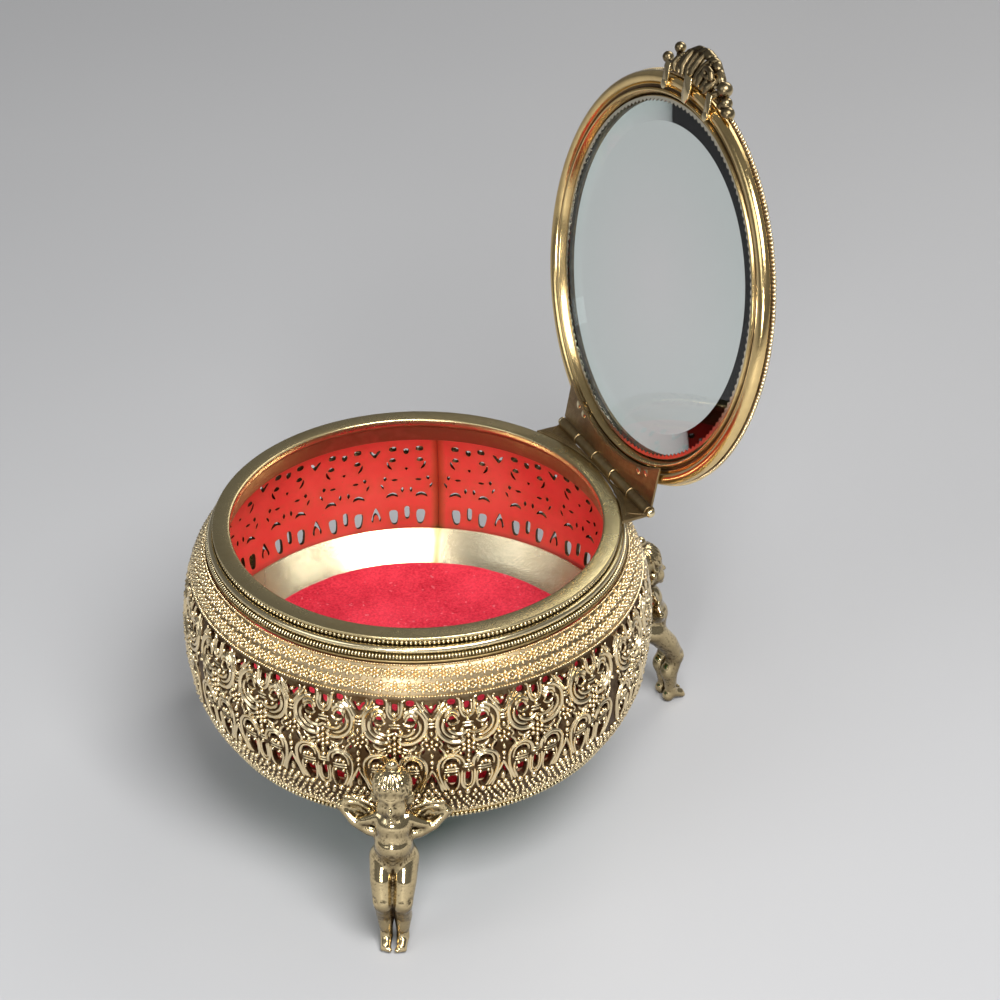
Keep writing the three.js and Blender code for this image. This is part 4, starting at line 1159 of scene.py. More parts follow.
def make_bezel(teeth=150):
    """A thin band round the glass whose lip is cut into fine teeth and turned in under it."""
    profile = [(42.3, 80.5), (43.45, 80.5), (43.6, 80.7), (43.6, 82.1), (43.32, 82.12), (43.32, 80.84), (42.3, 80.8)]
    points, faces = turned(profile, 4 * teeth)
    p = np.array(points)
    r = np.hypot(p[:, 0], p[:, 1])
    step = np.round(np.arctan2(p[:, 1], p[:, 0]) / TURN * 4 * teeth).astype(int) % 4
    cut = np.array([0.0, 0.28, 0.62, 0.28])[step] * (r < 42.6)
    p[:, :2] *= ((r + cut) / r)[:, None]
    piece("lid_bezel_toothed", p, faces, BEZEL_GILT, "lid", "gilt_ring", ["lid_bezel"], 30)


def make_glass():
    profile = [(0, 80.83), (42.85, 80.83), (43.0, 80.98), (43.0, 82.2), (37.65, 84.0), (37.4, 84.02), (0, 84.02)]
    turned_piece("bevelled_glass_disc", profile, GLASS, "lid", "glass_clear", "lid_glass", 8,
                 edge=lambda r, z: np.clip((r - 42.2) / 0.6, 0, 1))


LACE_RADIUS = 48.5


def make_lace_ring(units=36):
    """Scrolls and beads laid over a domed ring that holds the glass down, from its foot up and over to the glass."""
    arc = [(49.9 - 5.6 * (1 - math.cos(a)), 81.85 + 2.2 * math.sin(a)) for a in np.linspace(0.0, math.pi / 2, 16)]
    line = np.array([(49.9, 81.6), *arc, (42.35, 84.05)])
    length = lengths(line)
    profile = [(x, 0, z, 1) for x, z in resampled(line, np.linspace(0, length[-1], 60), length)]
    width = TURN * LACE_RADIUS / units
    half, middle = width / 2, length[-1] / 2

    def scroll(points, side):
        eased_line = resampled(np.array(points) * [side, 1], np.linspace(0, len(points) - 1, 22), range(len(points)))
        for _ in range(3):
            eased_line[1:-1] = (eased_line[:-2] + 2 * eased_line[1:-1] + eased_line[2:]) / 4
        return eased_line

    strands = [(thick, scroll(points, side)) for side in (-1, 1) for thick, points in (
        (0.36, [(half, -3.2), (3.2, -1.0), (2.4, 1.2), (0.9, 1.6), (0.5, 0.4), (1.4, -0.3)]),
        (0.30, [(0.2, -2.9), (1.3, -2.2), (1.7, -1.0)]),
        (0.32, [(half, 0.6), (3.1, 2.2), (1.8, 3.0), (0.4, 2.5)]),
    )]
    beads = [(x, y - 1.2, *rest) for x, y, *rest in rosette(0.0, 0.0, 1.0, 6, 0.5, 0.45, 0.5)]
    beads += [(0.0, 3.0, 0.55, 0.55, 0, 0.55), (half, -0.4, 0.5, 0.7, 0, 0.5), (-half, 2.3, 0.45, 0.45, 0, 0.45)]
    scallops = 9
    for k in range(scallops):
        across = (k + 0.5) / scallops * width - half
        beads.append((across, -middle + 0.75, 0.46, 0.55, 0, 0.5))
        beads.append((across, middle - 0.55, 0.44, 0.4, 0, 0.4))
    body = [*(line - [0.32, 0.1]), (42.35, 82.95), (43.9, 82.85), (43.95, 81.6)]
    points, faces = turned(body, 288)
    ground = plain_mesh("lace_ground", points, faces)
    # painted shade on the ground behind the scrolls and beads
    mark(ground, "recess", [0.85] * len(points))
    # the tree bends from the middle of the profile, and the last gap closes the ring
    mesh = grown("lace", filigree_tree, {
        "Unit strands": strand_curves("lace_strands", strands),
        "Between strands": helper_curves("no_strands", []),
        "Unit beads": bead_points("lace_beads", beads, by_length=True),
        "Between beads": helper_object("no_beads", plain_mesh("no_beads", [])),
        "Bead": BEAD,
        "Profile": helper_curves("lace_profile", [profile]),
        "Ground": helper_object("lace_ground", ground),
        "Units": units,
        "Unit width": width,
        "Half profile": middle,
        "Belly radius": LACE_RADIUS,
        "Strand sides": STRAND_SIDES,
        "Finish": FILIGREE_GILT,
        "Lining": FILIGREE_GILT,
    })
    placed_piece("lace_ring_cast", mesh, "lid", "gilt_panel", ["lid_filigree_ring"], angle=50)


# ------------------------------------------------------------ plates, barrels and tubes
def plate(outline, low, high, ease):
    """A flat plate with its edges eased, from its outline seen from above."""
    p = np.array(outline, float)
    area = np.sum(p[:, 0] * np.roll(p[:, 1], -1) - np.roll(p[:, 0], -1) * p[:, 1])
    if area < 0:
        p = p[::-1]
    ahead = np.roll(p, -1, 0) - p
    ahead /= np.linalg.norm(ahead, axis=1)[:, None]
    behind = np.roll(ahead, 1, 0)
    inward = np.stack([-(ahead + behind)[:, 1], (ahead + behind)[:, 0]], 1)
    inward /= np.maximum(np.linalg.norm(inward, axis=1), 0.3)[:, None]
    small = p + inward * ease
    layers = [(small, low), (p, low + ease), (p, high - ease), (small, high)]
    points = [(x, y, z) for layer, z in layers for x, y in layer]
    n = len(p)
    faces = [list(range(n))[::-1], list(range(3 * n, 4 * n))]
    for layer in range(3):
        faces += strip(layer * n, (layer + 1) * n, n, back=True)
    return points, faces


def barrel(start, end, radius, bore, ease=0.15, sides=28):
    """A hinge knuckle or a pin along X at the hinge line."""
    outline = [
        (bore, start), (radius - ease, start), (radius, start + ease), (radius, end - ease), (radius - ease, end),
        (bore, end),
    ]
    points, faces = [], []
    for i, (r, x) in enumerate(outline):
        points += [(x, HINGE_AT[1] + y, HINGE_AT[2] + z) for y, z, _ in ring(r, 0, sides)]
        faces += strip(i * sides, (i + 1) % len(outline) * sides, sides, back=True)
    return facing_out(points, faces)


def tube(path, radius, sides=10):
    """A round wire along a path, drawn to a point at both ends."""
    p = np.array(path, float)
    ahead = np.gradient(p, axis=0)
    ahead /= np.linalg.norm(ahead, axis=1)[:, None]
    side = np.cross(ahead, [0, 0, 1.0])
    side /= np.linalg.norm(side, axis=1)[:, None]
    up = np.cross(side, ahead)
    size = radius * np.minimum(1, 0.25 + np.minimum(np.arange(len(p)), np.arange(len(p))[::-1]) / 3)
    points, faces = [], []
    for k in range(len(p)):
        points += [tuple(p[k] + size[k] * (x * side[k] + y * up[k])) for x, y, _ in ring(1, 0, sides)]
    for k in range(len(p) - 1):
        faces += strip(k * sides, (k + 1) * sides, sides, back=True)
    faces.append(list(range(sides))[::-1])
    faces.append(list(range((len(p) - 1) * sides, len(p) * sides)))
    return facing_out(points, faces)


def dome_head(x, y, bottom, top, radius=1.05, sides=20):
    """A rivet with a low domed head downwards."""
    outline = [(0.0, bottom), (0.45 * radius, bottom + 0.02), (0.8 * radius, bottom + 0.09), (radius, bottom + 0.2),
               (0.95 * radius, bottom + 0.3), (0.8, bottom + 0.3), (0.8, top), (0.0, top)]
    points, faces = turned(outline, sides)
    return [(px + x, py + y, pz) for px, py, pz in points], faces


# ------------------------------------------------------------ hinge
HINGE_HALF = 23.0
KNUCKLES = 5
KNUCKLE_PITCH = 2 * HINGE_HALF / KNUCKLES
KNUCKLE_RADIUS = 1.5
KNUCKLE_BORE = 0.8
KNUCKLE_FIT = 0.15
KNUCKLE_ROOM = 0.3  # to each side of a knuckle, in the notch of the other leaf
HEEL = 0.4
LEAF = 0.5
LID_LEAF_LOW = RIM_TOP + 0.3  # the undersides of the leaf and the tongue that the lid ring is riveted to
RIVET_CIRCLE = 47.0
THUMB_RIVETS = 12  # degrees to each side of the front


def knuckle_spans(first):
    """Where every second knuckle starts and ends, from the first."""
    return [(k * KNUCKLE_PITCH - HINGE_HALF + KNUCKLE_FIT, (k + 1) * KNUCKLE_PITCH - HINGE_HALF - KNUCKLE_FIT)
            for k in range(first, KNUCKLES, 2)]


def leaf_outline(inner, own, other, notch, seat=0.2):
    """From the ring's arc back to the hinge line, with room for the other leaf's knuckles."""
    arc = [(x, math.sqrt(inner ** 2 - x ** 2)) for x in np.linspace(HINGE_HALF, -HINGE_HALF, 49)]
    back = []
    spans = [(a, b, HINGE_AT[1] - seat) for a, b in own]
    spans = sorted(spans + [(a - KNUCKLE_ROOM, b + KNUCKLE_ROOM, notch) for a, b in other])
    for a, b, depth in spans:
        back += [(max(a, -HINGE_HALF), depth), (min(b, HINGE_HALF), depth)]
    return arc + back


def make_hinge():
    box_spans, lid_spans = knuckle_spans(0), knuckle_spans(1)
    notch = HINGE_AT[1] - KNUCKLE_RADIUS - KNUCKLE_FIT
    top = RIM_TOP - 0.15
    arc_lines = []
    for r in (50.2, 50.85):
        # each raised line stops short of the notches that the lid's knuckles turn in
        clear, reach = math.acos((notch - KNUCKLE_FIT) / r), math.asin(22.3 / r)
        for side in (-1, 1):
            turns = side * np.linspace(clear, reach, 30)
            arc_lines.append(tube([(r * math.sin(a), r * math.cos(a), top + 0.02) for a in turns], 0.17))
    corner = [
        (22.9, 50.4, top + 0.22), (22.3, 49.2, top + 0.2), (21.4, 47.9, top + 0.12), (20.2, 46.6, top + 0.05),
        (19.4, 46.15, top),
    ]
    box = joined(
        plate(leaf_outline(49.65, box_spans, lid_spans, notch + 0.1), top - 0.8, top, 0.12),
        *[barrel(a, b, KNUCKLE_RADIUS, KNUCKLE_BORE) for a, b in box_spans],
        *arc_lines, tube(corner, 0.16), tube([(-x, y, z) for x, y, z in corner], 0.16),
    )
    piece("hinge_leaf_on_box", *box, HINGE_BROWN, "casket", "hinge_metal", ["hinge_box_leaf"], 35)

    # the heels stop the lid when it stands open
    low, heels = LID_LEAF_LOW, []
    c, s = math.cos(OPEN_ANGLE), math.sin(OPEN_ANGLE)
    for a, b in lid_spans:
        section = ((a + HEEL, -HEEL), (b - HEEL, -HEEL), (b - HEEL, HEEL), (a + HEEL, HEEL))
        corners = [(x, y, z) for z in (-1.0, -4.7) for x, y in section]
        points = [(x, HINGE_AT[1] + c * y - s * z, HINGE_AT[2] + s * y + c * z) for x, y, z in corners]
        faces = [[0, 1, 2, 3], [7, 6, 5, 4], [0, 4, 5, 1], [1, 5, 6, 2], [2, 6, 7, 3], [3, 7, 4, 0]]
        heels.append(facing_out(points, faces))
    inner_line = tube([(46.0 * math.sin(a), 46.0 * math.cos(a), low - 0.02) for a in np.linspace(-0.5, 0.5, 50)], 0.13)
    lid_leaf = joined(
        plate(leaf_outline(45.5, lid_spans, box_spans, notch, 1.1), low, low + LEAF, 0.12),
        *[barrel(a, b, KNUCKLE_RADIUS, KNUCKLE_BORE) for a, b in lid_spans], *heels, inner_line,
    )
    piece("hinge_leaf_on_lid", *lid_leaf, HINGE_BROWN, "lid", "hinge_metal", ["hinge_lid_leaf"], 35)

    ball = round_bead(14, 10)
    ball_points = [(0.75 * v.co.z, HINGE_AT[1] + 1.15 * v.co.x, HINGE_AT[2] + 1.15 * v.co.y) for v in ball.vertices]
    ball_faces = [list(p.vertices) for p in ball.polygons]
    parts = [barrel(-HINGE_HALF - 0.4, HINGE_HALF + 0.4, 0.7, 0.001)]
    for end in (-23.55, 23.55):
        parts.append(([(end + x, y, z) for x, y, z in ball_points], ball_faces))
    piece("hinge_pin_turned", *joined(*parts), WIRE_GILT, "casket", "hinge_metal", ["hinge_pin"], 50)


def make_rivets():
    for name, middle, turns in (
        ("lid_leaf_rivet", 90, (-22, -18, 18, 22)),
        ("thumb_lift_rivet", -90, (-THUMB_RIVETS, THUMB_RIVETS)),
    ):
        for k, turn in enumerate(turns):
            a = math.radians(middle + turn)
            points, faces = dome_head(RIVET_CIRCLE * math.cos(a), RIVET_CIRCLE * math.sin(a), RIM_TOP + 0.09, 80.2)
            node = f"{name}_{k + 1}"
            piece(f"{node}_domed", points, faces, WIRE_GILT, "lid", "hinge_metal", [node], 50)


# ------------------------------------------------------------ modelled masses
class Clay:
    """A solid modelled on a grid of distances: masses are added, hollows dug and lines drawn in it.

    What is added while its side is -1 comes out turned over to the other side.
    """

    def __init__(self, low, high, step):
        self.low, self.step, self.side = np.array(low, float), step, 1
        counts = np.ceil((np.array(high) - self.low) / step).astype(int) + 1
        self.depth = np.full(counts, 4.0)
        self.axes = [self.low[i] + step * np.arange(counts[i]) for i in range(3)]

    def part(self, low, high):
        cut = []
        for i in range(3):
            start = max(0, int((low[i] - self.low[i]) / self.step))
            cut.append(slice(start, max(start + 1, int((high[i] - self.low[i]) / self.step) + 2)))
        cut = tuple(cut)
        return cut, np.stack(np.meshgrid(*(a[c] for a, c in zip(self.axes, cut)), indexing="ij"), -1)

    def merge(self, cut, made, blend, dig=False):
        old = -self.depth[cut] if dig else self.depth[cut]
        share = np.clip(0.5 + 0.5 * (old - made) / blend, 0, 1)
        new = old * (1 - share) + made * share - blend * share * (1 - share)
        self.depth[cut] = -new if dig else new

    def ball(self, centre, radii, blend, turn=None, dig=False):
        centre = np.multiply(centre, [1, self.side, 1])
        radii = np.broadcast_to(np.asarray(radii, float), 3)
        reach = radii.max() + 2 * blend + 2 * self.step
        cut, where = self.part(centre - reach, centre + reach)
        p = where - centre
        if turn is not None:
            p = p @ np.array(turn)
        near = np.linalg.norm(p / radii, axis=-1)
        far = np.linalg.norm(p / radii ** 2, axis=-1)
        self.merge(cut, near * (near - 1) / np.maximum(far, 1e-6), blend, dig)

    def from_line(self, points, reach, radii=None):
        """The distance from a line of points, less its radius there, in the part of the grid that it reaches."""
        p = np.array(points, float) * [1, self.side, 1]
        cut, where = self.part(p.min(0) - reach, p.max(0) + reach)
        best = np.full(where.shape[:-1], 9.0)
        for k in range(len(p) - 1):
            a, run = p[k], p[k + 1] - p[k]
            t = np.clip(((where - a) @ run) / max(float(run @ run), 1e-9), 0, 1)
            off = np.linalg.norm(where - a - t[..., None] * run, axis=-1)
            if radii is not None:
                off = off - (radii[k] + t * (radii[k + 1] - radii[k]))
            best = np.minimum(best, off)
        return cut, best

    def limb(self, points, radii, blend):
        cut, made = self.from_line(points, max(radii) + 2 * blend + 2 * self.step, radii)
        self.merge(cut, made, blend)

    def line(self, points, width, depth):
        """A groove along a line, or a ridge where the depth is below zero."""
        cut, off = self.from_line(points, 3 * width)
        self.depth[cut] += depth * np.exp(-((off / width) ** 2))

    def skin(self):
        """The surface as points and four-sided faces, with how much painted shade and tarnish each point has."""
        d = self.depth
        inside = d < 0
        cells = np.zeros(tuple(n - 1 for n in d.shape), int)
        corners = [(i, j, k) for i in (0, 1) for j in (0, 1) for k in (0, 1)]
        nx, ny, nz = cells.shape
        for i, j, k in corners:
            cells += inside[i:i + nx, j:j + ny, k:k + nz]
        at = np.argwhere((cells > 0) & (cells < 8))
        total, count = np.zeros((len(at), 3)), np.zeros(len(at))
        for axis in range(3):
            step = np.eye(3, dtype=int)[axis]
            for corner in corners:
                if corner[axis]:
                    continue
                start = at + corner
                a = d[tuple(start.T)]
                b = d[tuple((start + step).T)]
                crosses = (a < 0) != (b < 0)
                share = np.where(crosses, a / np.where(crosses, a - b, 1), 0)
                total += (np.array(corner) + share[:, None] * step) * crosses[:, None]
                count += crosses
        points = self.low + self.step * (at + total / count[:, None])
        number = np.full(cells.shape, -1)
        number[tuple(at.T)] = np.arange(len(at))
        faces = []
        for axis in range(3):
            u, v = [(1, 2), (2, 0), (0, 1)][axis]
            step = np.eye(3, dtype=int)
            lead = inside.take(range(1, d.shape[axis]), axis) ^ inside.take(range(d.shape[axis] - 1), axis)
            edges = np.argwhere(lead)
            edges = edges[(edges[:, u] > 0) & (edges[:, v] > 0)]
            out = inside[tuple(edges.T)]
            ring = [edges - step[u] - step[v], edges - step[v], edges, edges - step[u]]
            quads = np.stack([number[tuple(e.T)] for e in ring], 1)
            quads[~out] = quads[~out][:, ::-1]
            faces.append(quads)
        # painted shade with tarnish in the hollows, where more of the solid lies round a point
        level = np.clip(d, -1.2, 1.2)
        for axis in range(3):
            level = sum(np.roll(level, shift, axis) for shift in (-3, -2, -1, 0, 1, 2, 3)) / 7
        hollow = np.clip(-level[tuple(np.round((points - self.low) / self.step).astype(int).T)] / 0.34, 0, 1)
        faces = np.vstack(faces)
        a, b, c, d = (points[faces[:, i]] for i in range(4))
        leans = np.cross(c - a, d - b)
        leans /= np.maximum(np.linalg.norm(leans, axis=1), 1e-9)[:, None]
        up = np.zeros(len(points))
        for i in range(4):
            np.add.at(up, faces[:, i], leans[:, 2] / 4)
        # painted shade: the sides and undersides are darkened, and the top is left bright
        under = np.clip((0.55 - up) / 0.9, 0, 1)
        return points, faces, np.clip(hollow + 0.74 * under, 0, 1)


# ------------------------------------------------------------ feet
# A figure is drawn where it stands: x out from the casket's axis, y across it, z up from the table.
LEAN_FROM = 44.8  # the height about which a figure leans
FOOT_LEANS = {"back": 0.09, "left": -0.06, "right": -0.06}
PAD_OUT = 47.6
PAD_TOP = 25.2


def model_head(clay):
    clay.ball((63.5, 0, 45.9), (4.4, 4.0, 4.8), 0.8)
    clay.ball((65.0, 0, 42.2), (3.6, 3.35, 4.2), 1.4)
    clay.ball((67.7, 0, 38.7), (1.05, 1.15, 0.9), 0.8)  # chin
    clay.limb([(67.8, 0, 44.7), (68.4, 0, 43.2), (69.1, 0, 42.1)], [0.5, 0.5, 0.6], 0.5)  # nose
    for clay.side in (-1, 1):
        clay.ball((66.6, 2.0, 41.6), (1.3, 1.35, 1.4), 1.1)  # cheek
        clay.limb([(67.9, 0.7, 45.1), (67.5, 1.6, 45.4), (66.6, 2.7, 45.0)], [0.4, 0.4, 0.3], 0.6)
        clay.ball((68.5, 1.55, 43.9), (1.1, 1.0, 0.65), 0.3, dig=True)
        clay.ball((67.25, 1.5, 43.85), 0.78, 0.08)
        clay.line([(67.9, 0.75, 43.9), (67.95, 1.5, 44.45), (67.3, 2.3, 43.95)], 0.16, -0.14)
        clay.ball((68.7, 0.55, 42.05), (0.42, 0.38, 0.36), 0.2)  # nostril's side
        clay.ball((63.9, 3.95, 42.6), (0.9, 0.5, 1.2), 0.3)  # ear
    clay.limb([(68.0, -0.95, 40.7), (68.5, 0, 40.85), (68.0, 0.95, 40.7)], [0.2, 0.36, 0.2], 0.25)
    clay.limb([(67.9, -0.7, 40.1), (68.35, 0, 39.95), (67.9, 0.7, 40.1)], [0.22, 0.4, 0.22], 0.25)
    clay.line([(67.9, -1.15, 40.5), (68.7, 0, 40.4), (67.9, 1.15, 40.5)], 0.17, 0.35)


def model_hair(clay):
    """Combed hair with a topknot, and a row of curls from the brow to behind the ear."""
    crown = np.array([62.9, 0, 52.2])
    clay.ball((63.3, 0, 46.6), (4.55, 4.3, 4.7), 0.5)
    clay.limb([(63.4, 0, 48.2), (62.9, 0, 51.4)], [3.4, 1.3], 0.9)
    clay.ball(crown, 1.45, 0.2)
    cut, where = clay.part((58, -5.5, 41), (69, 5.5, 52))
    x, y, z = (where[..., i] for i in range(3))
    round_crown = np.arctan2(y, x - crown[0] - 0.15 * (crown[2] - z))
    fringe = 47.3 - 0.28 * np.abs(y)
    over = np.clip(np.where(x > 64.8, (z - fringe) / 0.5, (z - 41.6) / 0.8), 0, 1) * np.clip((51.4 - z) / 0.8, 0, 1)
    clay.depth[cut] += over * (0.26 * np.cos(19 * round_crown + 0.5 * np.sin(z)) - 0.16)
    for clay.side in (-1, 1):
        for x, y, z, size in [
            (67.25, 0.75, 47.5, 0.8), (66.8, 2.1, 47.0, 0.85), (65.9, 3.2, 46.2, 0.9), (64.9, 3.95, 45.0, 0.9),
            (64.0, 4.25, 43.5, 0.85), (63.0, 4.2, 41.9, 0.85),
        ]:
            clay.ball((x, y, z), size, 0.2)
            clay.line([(x + 0.6, y - 0.3, z + 0.5), (x + 0.9, y, z), (x + 0.5, y + 0.4, z - 0.5)], 0.16, 0.2)
    tie = [(62.95 + 1.5 * math.cos(a), 1.5 * math.sin(a), 51.15) for a in np.linspace(0, TURN, 17)]
    clay.line(tie, 0.22, 0.4)


def model_body(clay):
    clay.limb([(63.6, 0, 40.0), (63.2, 0, 37.0)], [2.1, 2.2], 0.6)
    clay.ball((63.2, 0, 34.9), (3.9, 4.5, 3.9), 0.8)
    clay.ball((65.0, 0, 34.4), (2.3, 3.5, 2.6), 1.6)
    clay.ball((64.5, 0, 29.4), (4.6, 4.5, 4.6), 1.6)
    clay.ball((63.4, 0, 25.0), (4.7, 5.3, 4.2), 1.6)
    clay.ball((60.9, 0, 25.0), (3.3, 4.3, 3.2), 1.2)
    clay.line([(69.2, 0, 28.6), (69.0, 0, 28.2)], 0.35, 0.5)
    chest = [(66.4, -4.5, 31.9), (68.2, -2.0, 31.6), (68.7, 0, 31.9), (68.2, 2.0, 31.6), (66.4, 4.5, 31.9)]
    groin = [(66.4, -4.8, 26.0), (68.6, -2.4, 24.9), (69.2, 0, 24.2), (68.6, 2.4, 24.9), (66.4, 4.8, 26.0)]
    clay.line(chest, 0.55, 0.28)
    clay.line(groin, 0.5, 0.5)


def model_arm(clay):
    """A short arm that lies along the foot of a hollow, rimmed leaf."""
    lift = math.radians(24) * clay.side
    turn = [[1, 0, 0], [0, math.cos(lift), -math.sin(lift)], [0, math.sin(lift), math.cos(lift)]]
    clay.ball((61.0, 8.6, 36.2), (1.5, 4.7, 3.2), 0.6, turn)
    clay.ball((62.9, 8.9, 37.0), (1.5, 3.5, 2.1), 0.35, turn, dig=True)
    for share in (-0.9, -0.3, 0.3, 0.9):
        tip = (61.8, 10.2 + 1.9 * math.cos(share), 38.0 + 2.2 * math.sin(share))
        clay.line([(61.9, 6.2, 35.6), (61.4, 8.4, 36.9 + 0.6 * share), tip], 0.22, -0.3)
    rim = [(62.2, 4.4, 38.8), (61.7, 7.3, 40.0), (61.2, 10.5, 40.2), (61.0, 12.6, 38.3)]
    clay.limb(rim, [0.55, 0.6, 0.55, 0.5], 0.3)
    forearm = [(63.0, 3.4, 31.2), (62.9, 6.0, 32.0), (62.5, 9.2, 33.9), (61.3, 12.2, 36.9)]
    clay.limb(forearm, [1.7, 1.55, 1.3, 0.8], 0.7)
    clay.limb([(63.2, 3.2, 36.6), (63.2, 5.2, 35.4), (63.0, 7.2, 34.6)], [1.7, 1.5, 1.2], 0.6)
    clay.ball((61.2, 12.7, 37.4), 0.95, 0.3)
    for k in range(4):
        clay.ball((61.3, 5.2 + 2.0 * k, 40.3 + 0.35 * math.sin(0.9 * k)), (0.6, 0.8, 0.6), 0.2)


def model_leg(clay):
    """Thigh, knee, shin, calf and foot, with the creases at ankle, knee and hip."""
    clay.limb([(64.0, 2.7, 24.6), (67.4, 2.6, 20.0), (69.6, 2.35, 15.4)], [3.2, 2.9, 2.4], 0.7)
    clay.ball((69.9, 2.3, 14.6), (2.2, 2.15, 2.4), 0.7)
    clay.limb([(69.6, 2.25, 13.8), (68.0, 2.15, 9.4), (68.1, 1.95, 5.0), (68.2, 1.95, 3.2)], [2.1, 2.1, 1.6, 1.5], 0.6)
    clay.ball((67.3, 2.15, 9.8), (1.8, 1.75, 2.8), 0.7)
    clay.ball((67.3, 1.95, 1.7), (1.6, 1.45, 1.9), 0.5)
    clay.limb([(68.3, 1.95, 2.4), (70.7, 1.88, 1.45)], [1.5, 1.25], 0.5)
    for k in range(4):
        clay.ball((71.7 - 0.16 * k, 0.85 + 0.62 * k, 0.95), (0.8, 0.42 if k else 0.55, 0.65), 0.12)
    clay.line([(70.0, 0.4, 4.8), (69.8, 2.0, 4.4), (68.4, 3.5, 4.7)], 0.28, 0.35)
    clay.line([(71.4, 0.9, 12.0), (71.9, 2.3, 11.6), (71.2, 3.7, 12.2)], 0.35, 0.35)
    clay.line([(70.6, 4.2, 16.6), (72.2, 3.6, 15.6)], 0.4, 0.45)
    clay.line([(68.4, 0.2, 22.2), (71.0, 0.2, 17.4), (71.9, 0.15, 13.4)], 0.4, 0.4)


def model_bracket(clay):
    """The strap that runs in from the hips, bows down, and comes up to its pad under the base."""
    route = [
        (61.4, 0, 25.4), (59.2, 0, 21.4), (56.2, 0, 18.3), (53.2, 0, 16.6), (50.6, 0, 16.6), (48.7, 0, 18.2),
        (47.8, 0, 20.6), (PAD_OUT, 0, 23.0),
    ]
    clay.limb(route, [2.0, 1.5, 1.35, 1.4, 1.45, 1.4, 1.35, 1.5], 0.5)
    clay.limb([(PAD_OUT, 0, 23.2), (PAD_OUT, 0, PAD_TOP)], [1.95, 1.95], 0.3)
    clay.ball((52.0, 0, 15.5), (1.7, 1.5, 1.2), 0.5)
    for clay.side in (-1, 1):
        clay.ball((54.6, 1.5, 17.6), (1.6, 0.7, 1.0), 0.3)
    cut, where = clay.part((45, -3, 24.5), (51, 3, 28))
    clay.depth[cut] = np.maximum(clay.depth[cut], where[..., 2] - PAD_TOP)


def make_feet():
    clay = Clay((44.6, -14.6, -1.0), (74.2, 14.6, 55.0), 0.34)
    model_head(clay)
    model_hair(clay)
    model_body(clay)
    for clay.side in (-1, 1):
        model_arm(clay)
        model_leg(clay)
    model_bracket(clay)
    clay.depth = np.maximum(clay.depth, -clay.axes[2])  # nothing below the table
    points, faces, hollow = clay.skin()
    for place, angle in FOOT_ANGLES.items():
        p = points.copy()
        free = np.clip((p[:, 0] - 51) / 8, 0, 1)
        p[:, 0] += FOOT_LEANS[place] * (LEAN_FROM - p[:, 2]) * free ** 2 * (3 - 2 * free)
        c, s = math.cos(angle), math.sin(angle)
        placed = np.stack([p[:, 0] * c - p[:, 1] * s, p[:, 0] * s + p[:, 1] * c, p[:, 2]], 1)
        # recess is the skin's painted shade with tarnish, in the hollows and on the sides and undersides
        piece(f"cherub_foot_{place}", placed, faces, FIGURE_GILT, "casket", "gilt_figure", [f"foot_{place}"], 60,
              recess=hollow)


# ------------------------------------------------------------ thumb piece
THUMB_RING = 50.6


def at(across, out, height):
    """A point out from the front edge of the lid ring."""
    return across, -math.sqrt(THUMB_RING ** 2 - min(abs(across), 15.5) ** 2) - out, height


def model_shell(clay):
    """Curled leaves that run out from a rib to a rolled crest, lines across the crest, and a scroll."""
    clay.limb([at(x, 0.8, 80.9) for x in np.linspace(-11.8, 11.8, 9)], [0.8] * 9, 0.3)
    crest = [
        at(-8.6, 2.4, 81.3), at(-6.6, 4.8, 81.6), at(-3.2, 6.5, 81.8), at(0.8, 7.0, 81.9), at(4.6, 6.2, 82.0),
        at(8.2, 4.3, 81.8), at(10.8, 1.9, 81.3),
    ]
    t = np.linspace(0, 6, 25)
    crest_line = resampled(crest, t, range(7))
    clay.limb(crest_line, np.interp(t, range(7), [0.7, 0.95, 1.15, 1.25, 1.3, 1.2, 0.8]), 0.15)
    for k in range(11):
        start = -9.6 + 1.78 * k
        end = crest_line[int(1 + 2.2 * k)]
        foot = np.array(at(start, 0.35, 79.2))
        sway = np.array([-0.9 + 0.1 * k + 0.22 * (-1) ** k, 0, 0])
        route = [
            foot,
            foot * 0.7 + end * 0.3 + sway + [0, 0, -0.35],
            foot * 0.35 + end * 0.65 + sway * 0.9 + [0, 0, -0.5],
            end + [0.3 * (-1) ** k, 0.1, -0.7],
        ]
        thick = 0.86 + 0.2 * (k % 2)
        clay.limb(route, [0.65, thick, thick, 0.7], 0.07)
    for k in range(9):
        middle = crest_line[2 + int(2.4 * k)]
        across = [[-0.5, 0.9, -1.1], [0.1, -0.3, -1.25], [0.7, -1.2, -0.3], [0.9, -1.1, 0.7]]
        clay.line([middle + step for step in across], 0.24, 0.36)
    spiral = [
        at(5.2 + (2.2 - 0.2 * k) * math.cos(0.75 * k), 4.2 + (1.7 - 0.16 * k) * math.sin(0.75 * k), 79.6)
        for k in range(9)
    ]
    clay.limb(spiral, np.linspace(0.75, 0.5, 9), 0.12)


def model_berries(clay):
    """Berries at one end, a stalk with buds at the other, and three knobs on the shell."""
    berries = [(11.5, 4.0, 81.0, 1.9), (13.4, 1.9, 80.9, 1.5), (14.9, 0.4, 80.8, 1.75), (12.4, 0.5, 80.4, 1.2)]
    for x, out, z, size in berries:
        clay.ball(at(x, out, z), size, 0.12)
    clay.limb([at(-8.4, 1.4, 80.6), at(-9.7, 4.0, 80.8)], [0.8, 0.65], 0.25)
    clay.ball(at(-10.0, 5.4, 81.0), 1.4, 0.15)
    clay.limb([at(-11.4, 0.9, 80.5), at(-13.0, 1.6, 80.7)], [0.8, 0.65], 0.25)
    clay.ball(at(-14.1, 2.4, 80.9), 1.4, 0.15)
    clay.ball(at(-12.3, 0.3, 80.4), 1.15, 0.15)
    for x, out in [(-6.0, 1.8), (6.2, 1.8), (0.0, 1.2)]:
        clay.ball(at(x, out, 82.2), 0.85, 0.15)


